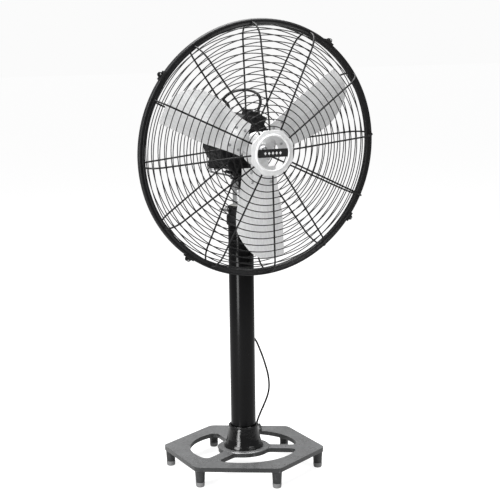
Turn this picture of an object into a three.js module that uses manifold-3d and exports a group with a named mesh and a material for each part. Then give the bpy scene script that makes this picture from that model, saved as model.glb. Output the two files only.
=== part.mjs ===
// Pedestal fan with a 600 mm sweep: a cast base on six legs, a telescopic pole, a tilting and
// oscillating motor head, three aluminium blades and a two-piece wire guard.
// Millimetres, +Z up. The origin is on the pole's axis at the floor and the fan blows towards -Y.

import * as THREE from 'three';
import { mergeVertices } from 'three/addons/utils/BufferGeometryUtils.js';
import Module from 'manifold-3d';

const wasm = await Module();
wasm.setup();

// ---------------------------------------------------------------- driving dimensions

const GAP = 0.3; // clearance between pieces that touch
const ROUND = 24; // facets of the larger turned pieces, the same for pieces that fit in one another
const SLIM = 16; // facets of the smaller ones

// base casting
const BASE_RADIUS = 230; // centre to the hexagon's sharp corners
const BASE_CORNER = 22;
const PLATE_TOP = 59;
const PLATE_THICKNESS = 12;
const DISC_RADIUS = 72;
const DISC_TOP = 61;
const RING_INNER = 153;
const ARM_HALF_WIDTH = 18;
const LEG_CIRCLE = 210;
const LEG_RADIUS = 14;
const FOOT_HEIGHT = 13;

// pole, cup and collar
const POLE_RADIUS = 35;
const POLE_BORE = 32.2;
const POLE_TOP = 702;
const CUP_HEIGHT = 63;
const COLLAR_TOP = 751;
const TUBE_RADIUS = 21;
const TUBE_BORE = 18.7;
const TUBE_TOP = 787;
const TUBE_BOTTOM = 425;
const CLAMP_SCREW_HEIGHT = 742;

// head
const TILT_HEIGHT = 812; // tilt pivot above the floor
const TILT_AT_REST = THREE.MathUtils.degToRad(3.2); // nose down
const AXIS_RISE = 110; // fan axis above the tilt pivot
const MOTOR_RADIUS = 80;
const SHAFT_RADIUS = 7;
const BOX_ANGLE = THREE.MathUtils.degToRad(25); // the terminal box sits beside the top of the motor
const RIM_PLANE = 116; // guard joint ahead of the swivel axis
const BLADE_PLANE = 120;
const BLADE_TIP = 303;

// guard
const RIM_OUTER = 345;
const RIM_INNER = 327;
const RIM_HALF_DEPTH = 8.2;
const GUARD_SEAT = 336; // radius where the wires lie on the rim
const GUARD_SHOULDER = 293;
const SHOULDER_DEPTH = 54;
const FRONT_HUB_DEPTH = 74;
const REAR_HUB_DEPTH = 70;
const SPOKES = 12;
const SPOKE_OFFSET = THREE.MathUtils.degToRad(5);
const CLAMP_ANGLES = [54, 144, 234, 324].map(THREE.MathUtils.degToRad);

// oscillation drive, in the head's frame
const CRANK_CENTRE = new THREE.Vector2(-34, 88);
const CRANK_PIN = new THREE.Vector2(-50.9, 86.6);
const LINK_ANCHOR = new THREE.Vector2(-26, -10);

// supply cord
const CORD_RADIUS = 2.75;
const CORD_HEADING = THREE.MathUtils.degToRad(64.5); // direction in which the cord leaves the pole
const CORD_EXIT_HEIGHT = 372;
const BOOT_START = 38.4;
const BOOT_END = 68;

// ---------------------------------------------------------------- materials

const look = (color, roughness, metalness) =>
  new THREE.MeshStandardMaterial({ color, roughness, metalness });
const castGrey = look(0x8d8f90, 0.55, 0.3);
const blackPaint = look(0x101112, 0.25, 0.2);
const motorBlack = look(0x17181a, 0.5, 0.3);
const aluminium = look(0xc9cccf, 0.35, 0.8);
const paleAluminium = look(0xdedfe0, 0.4, 0.6);
const steel = look(0x9fa2a5, 0.3, 0.9);
const tubeGrey = look(0xa4a7aa, 0.4, 0.5);
const rubber = look(0x7a7b7c, 0.9, 0);
const blackPlastic = look(0x161616, 0.5, 0);
const nylon = look(0xd8d6cf, 0.6, 0);
const wireBlack = look(0x141516, 0.3, 0.3);
const ironCore = look(0x5c5f62, 0.6, 0.7);

// ---------------------------------------------------------------- solid helpers

const position3 = (geometry) => {
  const bare = geometry.index ? geometry.toNonIndexed() : geometry.clone();
  for (const name of Object.keys(bare.attributes)) {
    if (name !== 'position') bare.deleteAttribute(name);
  }
  return mergeVertices(bare, 1e-3);
};

/** A closed geometry with shared corners, no collapsed triangles and its faces pointing out. */
function closed(geometry) {
  const merged = position3(geometry);
  const at = merged.attributes.position;
  const corners = [...merged.index.array];
  const kept = [];
  const [a, b, c] = [new THREE.Vector3(), new THREE.Vector3(), new THREE.Vector3()];
  let volume = 0;
  for (let i = 0; i < corners.length; i += 3) {
    const [p, q, r] = corners.slice(i, i + 3);
    if (p === q || q === r || r === p) continue;
    kept.push(p, q, r);
    a.fromBufferAttribute(at, p);
    b.fromBufferAttribute(at, q);
    c.fromBufferAttribute(at, r);
    volume += a.dot(b.cross(c));
  }
  if (volume < 0) kept.reverse();
  merged.setIndex(kept);
  merged.computeVertexNormals();
  return merged;
}

function toManifold(geometry) {
  const solid = closed(geometry);
  return new wasm.Manifold(new wasm.Mesh({
    numProp: 3,
    vertProperties: new Float32Array(solid.attributes.position.array),
    triVerts: new Uint32Array(solid.index.array),
  }));
}

function fromManifold(solid) {
  const { vertProperties, triVerts } = solid.getMesh();
  const geometry = new THREE.BufferGeometry();
  geometry.setAttribute('position', new THREE.BufferAttribute(new Float32Array(vertProperties), 3));
  geometry.setIndex([...triVerts]);
  return geometry;
}

const join = (first, ...rest) =>
  fromManifold(rest.reduce((solid, next) => solid.add(toManifold(next)), toManifold(first)));
const cut = (first, ...rest) =>
  fromManifold(rest.reduce((solid, next) => solid.subtract(toManifold(next)), toManifold(first)));
const common = (first, second) => fromManifold(toManifold(first).intersect(toManifold(second)));

/** Revolves a [radius, height] profile about Z. */
function turned(profile, segments = ROUND) {
  const points = profile.map(([radius, height]) => new THREE.Vector2(radius, height));
  return new THREE.LatheGeometry(points, segments).rotateX(Math.PI / 2);
}

/** Closes a ring-shaped profile on itself. */
const ring = (profile) => [...profile, profile[0]];

/** Revolves a [radius, distance ahead] profile about the fan's own axis, which looks along -Y. */
function spun(profile, segments = ROUND) {
  const points = profile.map(([radius, ahead]) => new THREE.Vector2(radius, -ahead));
  return new THREE.LatheGeometry(points, segments);
}

const block = (width, depth, height, x = 0, y = 0, z = 0) =>
  new THREE.BoxGeometry(width, depth, height).translate(x, y, z);

const rod = (radius, from, to, segments = 12) =>
  turned([[0, from], [radius, from], [radius, to], [0, to]], segments);

const rodAlongX = (radius, from, to, segments = 12) =>
  rod(radius, from, to, segments).rotateY(Math.PI / 2);

/** A round tube or cord along a smooth curve through the given points. */
function cordAlong(points, radius, sides, steps) {
  const section = new THREE.Shape();
  for (let i = 0; i < sides; i += 1) {
    const angle = (2 * Math.PI * i) / sides;
    const corner = [radius * Math.cos(angle), radius * Math.sin(angle)];
    if (i === 0) section.moveTo(...corner);
    else section.lineTo(...corner);
  }
  const through = points.map((point) => new THREE.Vector3(...point));
  const path = new THREE.CatmullRomCurve3(through, false, 'centripetal');
  return new THREE.ExtrudeGeometry(section, { steps, extrudePath: path, bevelEnabled: false });
}

/** Flat outline, extruded upwards from a height. */
const plate = (shape, bottom, thickness, curveSegments = 4) =>
  new THREE.ExtrudeGeometry(shape, { depth: thickness, bevelEnabled: false, curveSegments })
    .translate(0, 0, bottom);

const fan = new THREE.Group();

function add(parent, name, geometry, material) {
  const mesh = new THREE.Mesh(closed(geometry), material);
  mesh.name = name;
  parent.add(mesh);
  return mesh;
}

// ---------------------------------------------------------------- base

const polar = (radius, angle) => [radius * Math.cos(angle), radius * Math.sin(angle)];
const cornerAngle = (index) => THREE.MathUtils.degToRad(30 + 60 * index);

function hexagonOutline() {
  const outline = new THREE.Shape();
  const centre = BASE_RADIUS - BASE_CORNER / Math.cos(Math.PI / 6);
  for (let index = 0; index < 6; index += 1) {
    const angle = cornerAngle(index);
    outline.absarc(...polar(centre, angle), BASE_CORNER, angle - Math.PI / 6, angle + Math.PI / 6);
  }
  return outline;
}

/** One of the three petal openings, between two arms, with rounded corners. */
function petalOpening(middle) {
  const half = Math.PI / 3;
  const outerEdge = half - Math.asin(ARM_HALF_WIDTH / RING_INNER);
  const innerEdge = half - Math.asin(ARM_HALF_WIDTH / DISC_RADIUS);
  const outerRound = 0.14;
  const innerRound = 0.16;
  const outerSide = RING_INNER - 22;
  const innerSide = DISC_RADIUS + 12;
  const sideAngle = (radius) => half - Math.asin(ARM_HALF_WIDTH / radius);
  const petal = new THREE.Path();
  petal.moveTo(...polar(RING_INNER, middle - outerEdge + outerRound));
  petal.absarc(0, 0, RING_INNER, middle - outerEdge + outerRound, middle + outerEdge - outerRound);
  petal.quadraticCurveTo(
    ...polar(RING_INNER, middle + outerEdge),
    ...polar(outerSide, middle + sideAngle(outerSide)),
  );
  petal.lineTo(...polar(innerSide, middle + sideAngle(innerSide)));
  petal.quadraticCurveTo(
    ...polar(DISC_RADIUS, middle + innerEdge),
    ...polar(DISC_RADIUS, middle + innerEdge - innerRound),
  );
  petal.absarc(0, 0, DISC_RADIUS, middle + innerEdge - innerRound, middle - innerEdge + innerRound, true);
  petal.quadraticCurveTo(
    ...polar(DISC_RADIUS, middle - innerEdge),
    ...polar(innerSide, middle - sideAngle(innerSide)),
  );
  petal.lineTo(...polar(outerSide, middle - sideAngle(outerSide)));
  petal.quadraticCurveTo(
    ...polar(RING_INNER, middle - outerEdge),
    ...polar(RING_INNER, middle - outerEdge + outerRound),
  );
  return petal;
}

const BOLT_CIRCLE = 41.2;
const boltAngles = [30, 150, 270].map(THREE.MathUtils.degToRad);
const atBolt = (geometry, angle) => geometry.translate(...polar(BOLT_CIRCLE, angle), 0);

function baseCasting() {
  const outline = hexagonOutline();
  outline.holes = boltAngles.map(petalOpening);
  const plateBottom = PLATE_TOP - PLATE_THICKNESS;
  const legs = [];
  for (let index = 0; index < 6; index += 1) {
    const profile = [[0, FOOT_HEIGHT + GAP], [LEG_RADIUS - 2, FOOT_HEIGHT + GAP],
      [LEG_RADIUS, plateBottom + 4], [0, plateBottom + 4]];
    legs.push(turned(profile, 12).translate(...polar(LEG_CIRCLE, cornerAngle(index)), 0));
  }
  const disc = rod(DISC_RADIUS - 1, PLATE_TOP - 5, DISC_TOP, ROUND);
  const casting = join(plate(outline, plateBottom, PLATE_THICKNESS), disc, ...legs);
  return cut(casting, ...boltAngles.map((angle) => atBolt(rod(4.4, 40, 70, 8), angle)));
}

add(fan, 'base_casting', baseCasting(), castGrey);

for (let index = 0; index < 6; index += 1) {
  const profile = [[0, 0], [LEG_RADIUS - 4.5, 0], [LEG_RADIUS - 2.5, 2], [LEG_RADIUS - 1.5, FOOT_HEIGHT],
    [0, FOOT_HEIGHT]];
  const foot = turned(profile, 12).translate(...polar(LEG_CIRCLE, cornerAngle(index)), 0);
  add(fan, `foot_${index + 1}`, foot, rubber);
}

// ---------------------------------------------------------------- pole and cup

const FLANGE_BOTTOM = DISC_TOP + GAP;
const FLANGE_TOP = FLANGE_BOTTOM + 6;

const flange = turned(ring([
  [POLE_RADIUS + GAP, FLANGE_BOTTOM], [48, FLANGE_BOTTOM], [48, FLANGE_TOP],
  [POLE_RADIUS + GAP, FLANGE_TOP],
]));
add(fan, 'pole_flange', cut(flange, ...boltAngles.map((angle) => atBolt(rod(4.4, 60, 70, 8), angle))), steel);

boltAngles.forEach((angle, index) => {
  const bolt = turned([
    [0, 44], [4, 44], [4, FLANGE_TOP + GAP], [5.4, FLANGE_TOP + GAP], [5.4, FLANGE_TOP + 5],
    [0, FLANGE_TOP + 5],
  ], 8);
  add(fan, `base_bolt_${index + 1}`, atBolt(bolt, angle), steel);
});

const cupBase = DISC_TOP + GAP;
const cupTop = cupBase + CUP_HEIGHT;
add(fan, 'pole_cup', turned(ring([
  [49.5, cupBase], [56, cupBase], [56, cupBase + 4], [46.5, cupBase + 28], [41.2, cupBase + 56],
  [41.2, cupTop], [POLE_RADIUS + 1, cupTop], [POLE_RADIUS + 1, cupTop - 3], [43, cupBase + 28],
])), blackPaint);

/** Turns a solid drawn along +Z so that it points along the cord's heading, at the cord's exit height. */
const alongCordHeading = (geometry) =>
  geometry.rotateY(Math.PI / 2).rotateZ(CORD_HEADING).translate(0, 0, CORD_EXIT_HEIGHT);

const poleTube = turned(ring([
  [POLE_BORE, FLANGE_BOTTOM], [POLE_RADIUS, FLANGE_BOTTOM], [POLE_RADIUS, POLE_TOP], [POLE_BORE, POLE_TOP],
]));
add(fan, 'pole', cut(poleTube, alongCordHeading(rod(7, 20, 50, 12))), blackPaint);

add(fan, 'collar', cut(
  turned(ring([
    [24.6, POLE_TOP + GAP], [POLE_RADIUS + GAP, POLE_TOP + GAP], [POLE_RADIUS + GAP, POLE_TOP - 4],
    [39, POLE_TOP - 4], [39, POLE_TOP + 22], [34, POLE_TOP + 27], [33, COLLAR_TOP], [24.6, COLLAR_TOP],
  ])),
  rodAlongX(4.4, -60, -20).translate(0, 0, CLAMP_SCREW_HEIGHT),
), motorBlack);

add(fan, 'collar_bush', cut(
  turned(ring([
    [TUBE_RADIUS + 0.4, POLE_TOP + 2], [24.2, POLE_TOP + 2], [24.2, COLLAR_TOP + GAP], [28, COLLAR_TOP + GAP],
    [28, COLLAR_TOP + 2], [TUBE_RADIUS + 0.4, COLLAR_TOP + 2],
  ])),
  rodAlongX(4.4, -60, -15).translate(0, 0, CLAMP_SCREW_HEIGHT),
), nylon);

/** Screw with a flat two-winged head, pointing along +X: tip at 0, wing from the shank's end on. */
function wingScrew(length, shank) {
  return join(
    rodAlongX(shank, 0, length + 3),
    rodAlongX(6.5, length, length + 5),
    block(20, 25, 3.4, length + 13, 0, 0),
  );
}

const heightScrew = wingScrew(18, 4).rotateZ(Math.PI)
  .translate(-TUBE_RADIUS - 0.4, 0, CLAMP_SCREW_HEIGHT);
add(fan, 'height_screw', heightScrew, steel);

// ---------------------------------------------------------------- supply cord

const gland = turned([
  [0, 29], [6.7, 29], [6.7, POLE_RADIUS + GAP], [10, POLE_RADIUS + GAP], [10, BOOT_START],
  [7, BOOT_START + 1], [3.4, BOOT_END], [0, BOOT_END],
], 12);
add(fan, 'cord_gland', alongCordHeading(gland), blackPlastic);

/** A point beside the pole: across and behind the cord's heading, and above the floor. */
const behindPole = (across, behind, height) => [
  across * Math.sin(CORD_HEADING) + behind * Math.cos(CORD_HEADING),
  -across * Math.cos(CORD_HEADING) + behind * Math.sin(CORD_HEADING),
  height,
];

const cordRoute = [
  [0, BOOT_END + 0.5, CORD_EXIT_HEIGHT], [1, 79, 371.7], [12, 92, 367.5], [25, 98, 359], [37.4, 97, 345],
  [46.5, 95, 326], [57.5, 91, 297], [65.7, 87, 271], [72.3, 83, 245], [75, 80, 216], [72, 77, 192],
  [63, 74, 167], [50, 71, 138], [41, 71, 115], [37, 80, 95], [39, 98, 78], [44, 120, 67], [50, 145, 62.8],
  [50, 168, 62.6], [48, 187, 62.8], [45.5, 201, 61.9], [41.8, 213.8, 53.5], [35.5, 224, 38.5], [28.3, 234.2, 23.4],
  [22.2, 245, 12], [18.5, 257, 5.6], [17.5, 270, 4.6],
].map((point) => behindPole(...point));
add(fan, 'cord_lead', cordAlong(cordRoute, CORD_RADIUS, 8, 42), blackPlastic);

const HANK_START = 270 + GAP;
const HANK_LENGTH = 138;
const HANK_WIDTH = 44;
const HANK_HEIGHT = 24;

function hankOutline() {
  const outline = new THREE.Shape();
  const round = 8;
  const side = HANK_WIDTH / 2 - round;
  outline.absarc(-side, round, round, Math.PI, 1.5 * Math.PI);
  outline.absarc(side, round, round, 1.5 * Math.PI, 2 * Math.PI);
  outline.absarc(side, HANK_LENGTH - round, round, 0, Math.PI / 2);
  outline.absarc(-side, HANK_LENGTH - round, round, Math.PI / 2, Math.PI);
  return outline;
}

/** Lays a solid drawn along +Y from the origin on the floor, along the cord's heading. */
const onFloorBehind = (geometry, across, behind) =>
  geometry.rotateZ(CORD_HEADING - Math.PI / 2).translate(...behindPole(across, behind, 0));

add(fan, 'cord_hank', onFloorBehind(plate(hankOutline(), 0.4, HANK_HEIGHT), 0, HANK_START), blackPlastic);

function plug() {
  const body = turned([
    [0, 0], [4, 0], [6, 20], [18, 34], [18, 48], [0, 48],
  ], 14).rotateX(-Math.PI / 2).scale(1, 1, 0.72);
  const pins = [[-7, -2], [7, -2], [0, 4]].map(([x, z]) =>
    rod(2.4, 46, 65, 8).rotateX(-Math.PI / 2).translate(x, 0, z));
  return join(body, ...pins).translate(0, 0, 13.2);
}

add(fan, 'cord_plug', onFloorBehind(plug(), 0, HANK_START + HANK_LENGTH + GAP), blackPlastic);

// ---------------------------------------------------------------- height tube and clevis

add(fan, 'height_tube', turned(ring([
  [TUBE_BORE, TUBE_BOTTOM], [TUBE_RADIUS, TUBE_BOTTOM], [TUBE_RADIUS, TUBE_TOP], [TUBE_BORE, TUBE_TOP],
])), tubeGrey);

add(fan, 'tube_glide', turned(ring([
  [TUBE_RADIUS + GAP, TUBE_BOTTOM + 2], [POLE_BORE - 0.4, TUBE_BOTTOM + 2],
  [POLE_BORE - 0.4, TUBE_BOTTOM + 22], [TUBE_RADIUS + GAP, TUBE_BOTTOM + 22],
])), nylon);

const EAR_RADIUS = 13;
const EAR_INNER = 11;

function clevis() {
  const ears = [-1, 1].flatMap((side) => [
    block(TUBE_RADIUS - EAR_INNER, 2 * EAR_RADIUS, 18, side * 16, 0, TILT_HEIGHT - 9),
    rodAlongX(EAR_RADIUS, 11, 21, SLIM).rotateY(side > 0 ? 0 : Math.PI).translate(0, 0, TILT_HEIGHT),
  ]);
  const blank = join(
    rod(TUBE_RADIUS, TUBE_TOP + GAP, TUBE_TOP + 9, ROUND),
    rod(TUBE_BORE - GAP, TUBE_TOP - 28, TUBE_TOP + 2, ROUND),
    ...ears,
  );
  return cut(blank, rodAlongX(4.6, -40, 40).translate(0, 0, TILT_HEIGHT));
}

add(fan, 'tube_clevis', clevis(), tubeGrey);

add(fan, 'tilt_bolt', join(
  rodAlongX(4.2, -22, 34),
  rodAlongX(7, -26, -TUBE_RADIUS - GAP, 6),
).translate(0, 0, TILT_HEIGHT), steel);

const wingNut = join(
  rodAlongX(8, TUBE_RADIUS + GAP, 31),
  block(3.6, 34, 12, 29, 0, 0),
);
add(fan, 'tilt_wing_nut', cut(wingNut, rodAlongX(4.6, 10, 60)).translate(0, 0, TILT_HEIGHT), steel);

// ---------------------------------------------------------------- tilting head

const tilted = new THREE.Group();
tilted.position.z = TILT_HEIGHT;
tilted.rotation.x = TILT_AT_REST;
fan.add(tilted);

const head = new THREE.Group(); // its origin is where the fan's axis meets the swivel axis
head.position.z = AXIS_RISE;
tilted.add(head);

const NECK_TOP = -88 - GAP;

function neckBlock() {
  const blank = join(
    rodAlongX(EAR_RADIUS, -EAR_INNER + GAP, EAR_INNER - GAP, SLIM).translate(0, 0, -AXIS_RISE),
    block(2 * (EAR_INNER - GAP), 2 * EAR_RADIUS, 20, 0, 0, -AXIS_RISE + 10),
    rod(15, NECK_TOP - 7, NECK_TOP, SLIM),
    block(26, 15, 4.4, LINK_ANCHOR.x / 2, LINK_ANCHOR.y, NECK_TOP - 4.8),
    rod(8, NECK_TOP - 7, NECK_TOP - 2.6).translate(LINK_ANCHOR.x, LINK_ANCHOR.y, 0),
    rod(3.2, NECK_TOP - 4, NECK_TOP + 2.6).translate(LINK_ANCHOR.x, LINK_ANCHOR.y, 0),
  );
  const bore = rodAlongX(4.6, -20, 20).translate(0, 0, -AXIS_RISE);
  return cut(blank, bore, rod(6.3, -104.6, -80));
}

add(head, 'neck_block', neckBlock(), motorBlack);
add(head, 'swivel_pin', rod(6, -104.3, -82), steel);

const atCrank = (geometry) => geometry.translate(CRANK_CENTRE.x, CRANK_CENTRE.y, 0);

const motorBore = spun([[0, 60], [MOTOR_RADIUS + GAP, 60], [MOTOR_RADIUS + GAP, -60], [0, -60]]);

const cradle = join(rod(15, -88, -82, SLIM), block(62, 92, 12, 0, 0, -78));
add(head, 'motor_cradle', cut(cradle, motorBore, rod(6.3, -90, -60)), motorBlack);

// ---------------------------------------------------------------- motor

add(head, 'motor_housing', spun(ring([
  [76, 18], [MOTOR_RADIUS, 18], [MOTOR_RADIUS, -46], [76, -46],
])), motorBlack);

add(head, 'motor_front_cap', spun(ring([
  [10.5, 41.5], [24, 41.5], [27, 37.5], [74, 33], [80, 26], [80, 18.3], [76, 18.3], [70, 29],
  [17.3, 33], [17.3, 39], [10.5, 39],
])), motorBlack);

const crankPocket = atCrank(rod(23, -90, -75.5, ROUND));

add(head, 'motor_rear_cap', cut(spun(ring([
  [76, -46.3], [80, -46.3], [80, -78], [74, -87], [56, -89], [17.3, -89], [17.3, -58], [24, -58],
  [24, -76], [66, -76], [76, -68],
])), crankPocket), motorBlack);

add(head, 'gear_cover', spun([
  [0, -109.5], [20, -109.5], [48, -107.5], [56, -100], [56, -89.3], [52, -89.3], [52, -98], [46, -104],
  [0, -105.5],
]), motorBlack);

add(head, 'stator', spun(ring([
  [37, 14], [43, 23], [66, 23], [66, 14], [75, 14], [75, -38], [66, -38], [66, -47], [43, -47], [37, -38],
]), SLIM), ironCore);

const bearing = (front, back) => spun(ring([[7.3, front], [17, front], [17, back], [7.3, back]]), SLIM);
add(head, 'front_bearing', bearing(38.7, 30), steel);
add(head, 'rear_bearing', bearing(-61, -72), steel);

function gearHousing() {
  const column = atCrank(rod(22, -76, -44, SLIM));
  const motorBack = spun([
    [0, -40], [80.5, -40], [80.5, -78.2], [74.4, -87.4], [56.4, -89.4], [56.4, -100.2], [48.3, -107.9],
    [20, -109.9], [0, -109.9],
  ]);
  return cut(column, motorBack, atCrank(rod(5.5, -80, -73.4)));
}

add(head, 'gear_housing', gearHousing(), motorBlack);

const crank = join(
  atCrank(rod(21, -81, -76.6, SLIM)),
  atCrank(rod(5, -78, -74)),
  rod(3.2, -91, -79).translate(CRANK_PIN.x, CRANK_PIN.y, 0),
);
add(head, 'crank', crank, steel);

function linkRod() {
  const along = LINK_ANCHOR.clone().sub(CRANK_PIN);
  const middle = LINK_ANCHOR.clone().add(CRANK_PIN).multiplyScalar(0.5);
  const bar = block(along.length(), 7, 3.6)
    .rotateZ(Math.atan2(along.y, along.x)).translate(middle.x, middle.y, -88.3);
  const eye = (radius, at, low = -90.1, high = -86.5) => rod(radius, low, high).translate(at.x, at.y, 0);
  const blank = join(bar, eye(7.5, CRANK_PIN), eye(9.6, LINK_ANCHOR));
  return cut(blank, eye(3.7, CRANK_PIN, -95, -80), eye(6.6, LINK_ANCHOR, -95, -80));
}

add(head, 'link_rod', linkRod(), steel);

add(head, 'oscillation_knob', turned([
  [0, 56.4], [3, 56.4], [3, 68], [9, 69], [10, 80], [8, 84], [0, 84],
], 14).translate(0, 99.6, 0), blackPlastic);

add(head, 'speed_knob', cut(
  spun([[0, -110], [19, -110], [20, -113.5], [17, -126.5], [0, -126.5]], SLIM),
  block(3, 3, 20, 0, 127.5, 12),
), blackPlastic);

const terminalBox = block(60, 46, 36, 0, -11, 74).rotateY(BOX_ANGLE);
add(head, 'terminal_box', cut(terminalBox, motorBore), motorBlack);

add(head, 'motor_lead', cordAlong([
  [39.8, -20, 85.4], [44, -20, 96], [50, -19, 112], [48, -14, 130], [38, 0, 141], [18, 18, 145],
  [-4, 38, 139], [-18, 54, 127], [-23, 64, 115], [-10, 74, 105], [-3, 75, 96], [-2, 73, 84.6],
], 4, 8, 24), blackPlastic);

// ---------------------------------------------------------------- shaft and blades

add(head, 'shaft', spun([[0, -80], [SHAFT_RADIUS, -80], [SHAFT_RADIUS, 140], [0, 140]], 12), steel);
add(head, 'rotor', spun(ring([[7.3, 13], [36, 13], [36, -37], [7.4, -37]]), SLIM), ironCore);

const BLADE_ROOT = 48;
const ROOT_FLAT = 104; // the blade is flat and untwisted out to this radius
const ROOT_PITCH = THREE.MathUtils.degToRad(12);
const TIP_PITCH = THREE.MathUtils.degToRad(8);
const TRAILING_EDGE = [41, 54]; // how far each edge stands from the blade's centreline, root and tip
const LEADING_EDGE = [52, 76];
const TIP_CUT = 69; // how far the tip falls back towards the leading edge
const BLADE_BOW = 9;
const BLADE_THICKNESS = 2;
const HUB_RADIUS = 46;
const BLADE_ANGLES = [34, 154, 274].map(THREE.MathUtils.degToRad);

/** Pitch of the blade at a radius: constant over the root, then easing to the tip's. */
function pitchAt(radius) {
  const along = Math.max(0, (radius - ROOT_FLAT) / (BLADE_TIP - ROOT_FLAT));
  return THREE.MathUtils.lerp(ROOT_PITCH, TIP_PITCH, along);
}

const widening = ([root, tip], radius) =>
  THREE.MathUtils.lerp(root, tip, THREE.MathUtils.smoothstep(radius, BLADE_ROOT, BLADE_ROOT + 155));

/** A point on the blade, from its leading (0) to its trailing (1) edge and from root to tip. */
function bladePoint(u, v) {
  const end = BLADE_TIP - TIP_CUT * (1 - u) ** 4;
  const along = BLADE_ROOT + v * (end - BLADE_ROOT);
  const offset = THREE.MathUtils.lerp(-widening(LEADING_EDGE, along), widening(TRAILING_EDGE, along), u);
  const radius = along - THREE.MathUtils.smoothstep(along, 110, 260) * offset ** 2 / (2 * BLADE_TIP);
  const curved = THREE.MathUtils.smoothstep(radius, ROOT_FLAT, ROOT_FLAT + 80);
  const bow = BLADE_BOW * Math.sin(Math.PI * u) * curved;
  const pitch = pitchAt(radius);
  return [radius, offset * Math.sin(pitch) + bow, offset * Math.cos(pitch)];
}

/** A curved paddle: two skins over a grid, joined round the edge, with a rounded, cut-back tip. */
function blade() {
  const across = 6;
  const outwards = 9;
  const positions = [];
  const index = [];
  const corner = (i, j, side) => (i * (outwards + 1) + j) * 2 + side;
  for (let i = 0; i <= across; i += 1) {
    for (let j = 0; j <= outwards; j += 1) {
      const [outward, ahead, side] = bladePoint(i / across, j / outwards);
      positions.push(outward, -(ahead + BLADE_THICKNESS / 2), side);
      positions.push(outward, -(ahead - BLADE_THICKNESS / 2), side);
    }
  }
  const quad = (a, b, c, d) => index.push(a, b, c, a, c, d);
  for (let i = 0; i < across; i += 1) {
    for (let j = 0; j < outwards; j += 1) {
      quad(corner(i, j, 0), corner(i + 1, j, 0), corner(i + 1, j + 1, 0), corner(i, j + 1, 0));
      quad(corner(i, j, 1), corner(i, j + 1, 1), corner(i + 1, j + 1, 1), corner(i + 1, j, 1));
    }
    quad(corner(i, 0, 1), corner(i + 1, 0, 1), corner(i + 1, 0, 0), corner(i, 0, 0));
    const [tip, next] = [corner(i, outwards, 0), corner(i + 1, outwards, 0)];
    quad(tip, next, next + 1, tip + 1);
  }
  for (let j = 0; j < outwards; j += 1) {
    quad(corner(0, j, 0), corner(0, j + 1, 0), corner(0, j + 1, 1), corner(0, j, 1));
    quad(corner(across, j, 1), corner(across, j + 1, 1), corner(across, j + 1, 0), corner(across, j, 0));
  }
  const geometry = new THREE.BufferGeometry();
  geometry.setAttribute('position', new THREE.Float32BufferAttribute(positions, 3));
  geometry.setIndex(index);
  return geometry;
}

/** Turns a solid drawn along +X in the fan's plane to the given angle, as seen from the front. */
const facing = (geometry, angle) => geometry.rotateY(-angle);

BLADE_ANGLES.forEach((angle, index) => {
  const paddle = facing(blade(), angle).translate(0, -BLADE_PLANE, 0);
  add(head, `blade_${index + 1}`, paddle, aluminium);
});

function bladeHub() {
  const pads = BLADE_ANGLES.map((angle) => {
    const pad = block(62, 6, 50, 65, 4.5 + BLADE_THICKNESS / 2 - 1, 0);
    return facing(pad.rotateX(ROOT_PITCH), angle).translate(0, -BLADE_PLANE, 0);
  });
  const boss = spun(ring([
    [SHAFT_RADIUS + GAP, 92], [22, 92], [26, 98], [HUB_RADIUS, 102], [HUB_RADIUS, 116], [30, 124],
    [18, 133.5], [SHAFT_RADIUS + GAP, 133.5],
  ]));
  const bore = spun([[0, 60], [SHAFT_RADIUS + GAP, 60], [SHAFT_RADIUS + GAP, 160], [0, 160]], 12);
  return cut(join(boss, ...pads), bore);
}

add(head, 'blade_hub', bladeHub(), aluminium);

add(head, 'hub_nut', spun([
  [0, 151], [8, 149.5], [12.5, 144], [12.5, 134], [7.4, 134], [7.4, 140.4], [0, 140.4],
], 12), steel);

// ---------------------------------------------------------------- guard

const RING_RADII = [132, 212];
const SHOULDER_RINGS = [8, 48].map(THREE.MathUtils.degToRad);
const WIRE = 4;

/** Places of a guard's rings on its section, from the hub to the rim: radius, depth and direction. */
function guardSection(hubRadius, hubDepth) {
  const seatDepth = RIM_HALF_DEPTH + GAP + WIRE / 2;
  const slope = (SHOULDER_DEPTH - hubDepth) / (GUARD_SHOULDER - hubRadius);
  const tilt = Math.atan(slope);
  const dish = [hubRadius + WIRE / 2, ...RING_RADII].map((radius) => ({
    radius,
    depth: hubDepth + slope * (radius - hubRadius),
    heading: tilt,
  }));
  const edge = [...SHOULDER_RINGS, Math.PI / 2].map((angle) => ({
    radius: GUARD_SHOULDER + (GUARD_SEAT - GUARD_SHOULDER) * Math.sin(angle),
    depth: seatDepth + (SHOULDER_DEPTH - seatDepth) * Math.cos(angle),
    heading: -angle,
  }));
  edge[edge.length - 1].depth += 0.01;
  edge[edge.length - 1].heading = -Math.PI / 2;
  return [...dish, ...edge];
}

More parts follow.
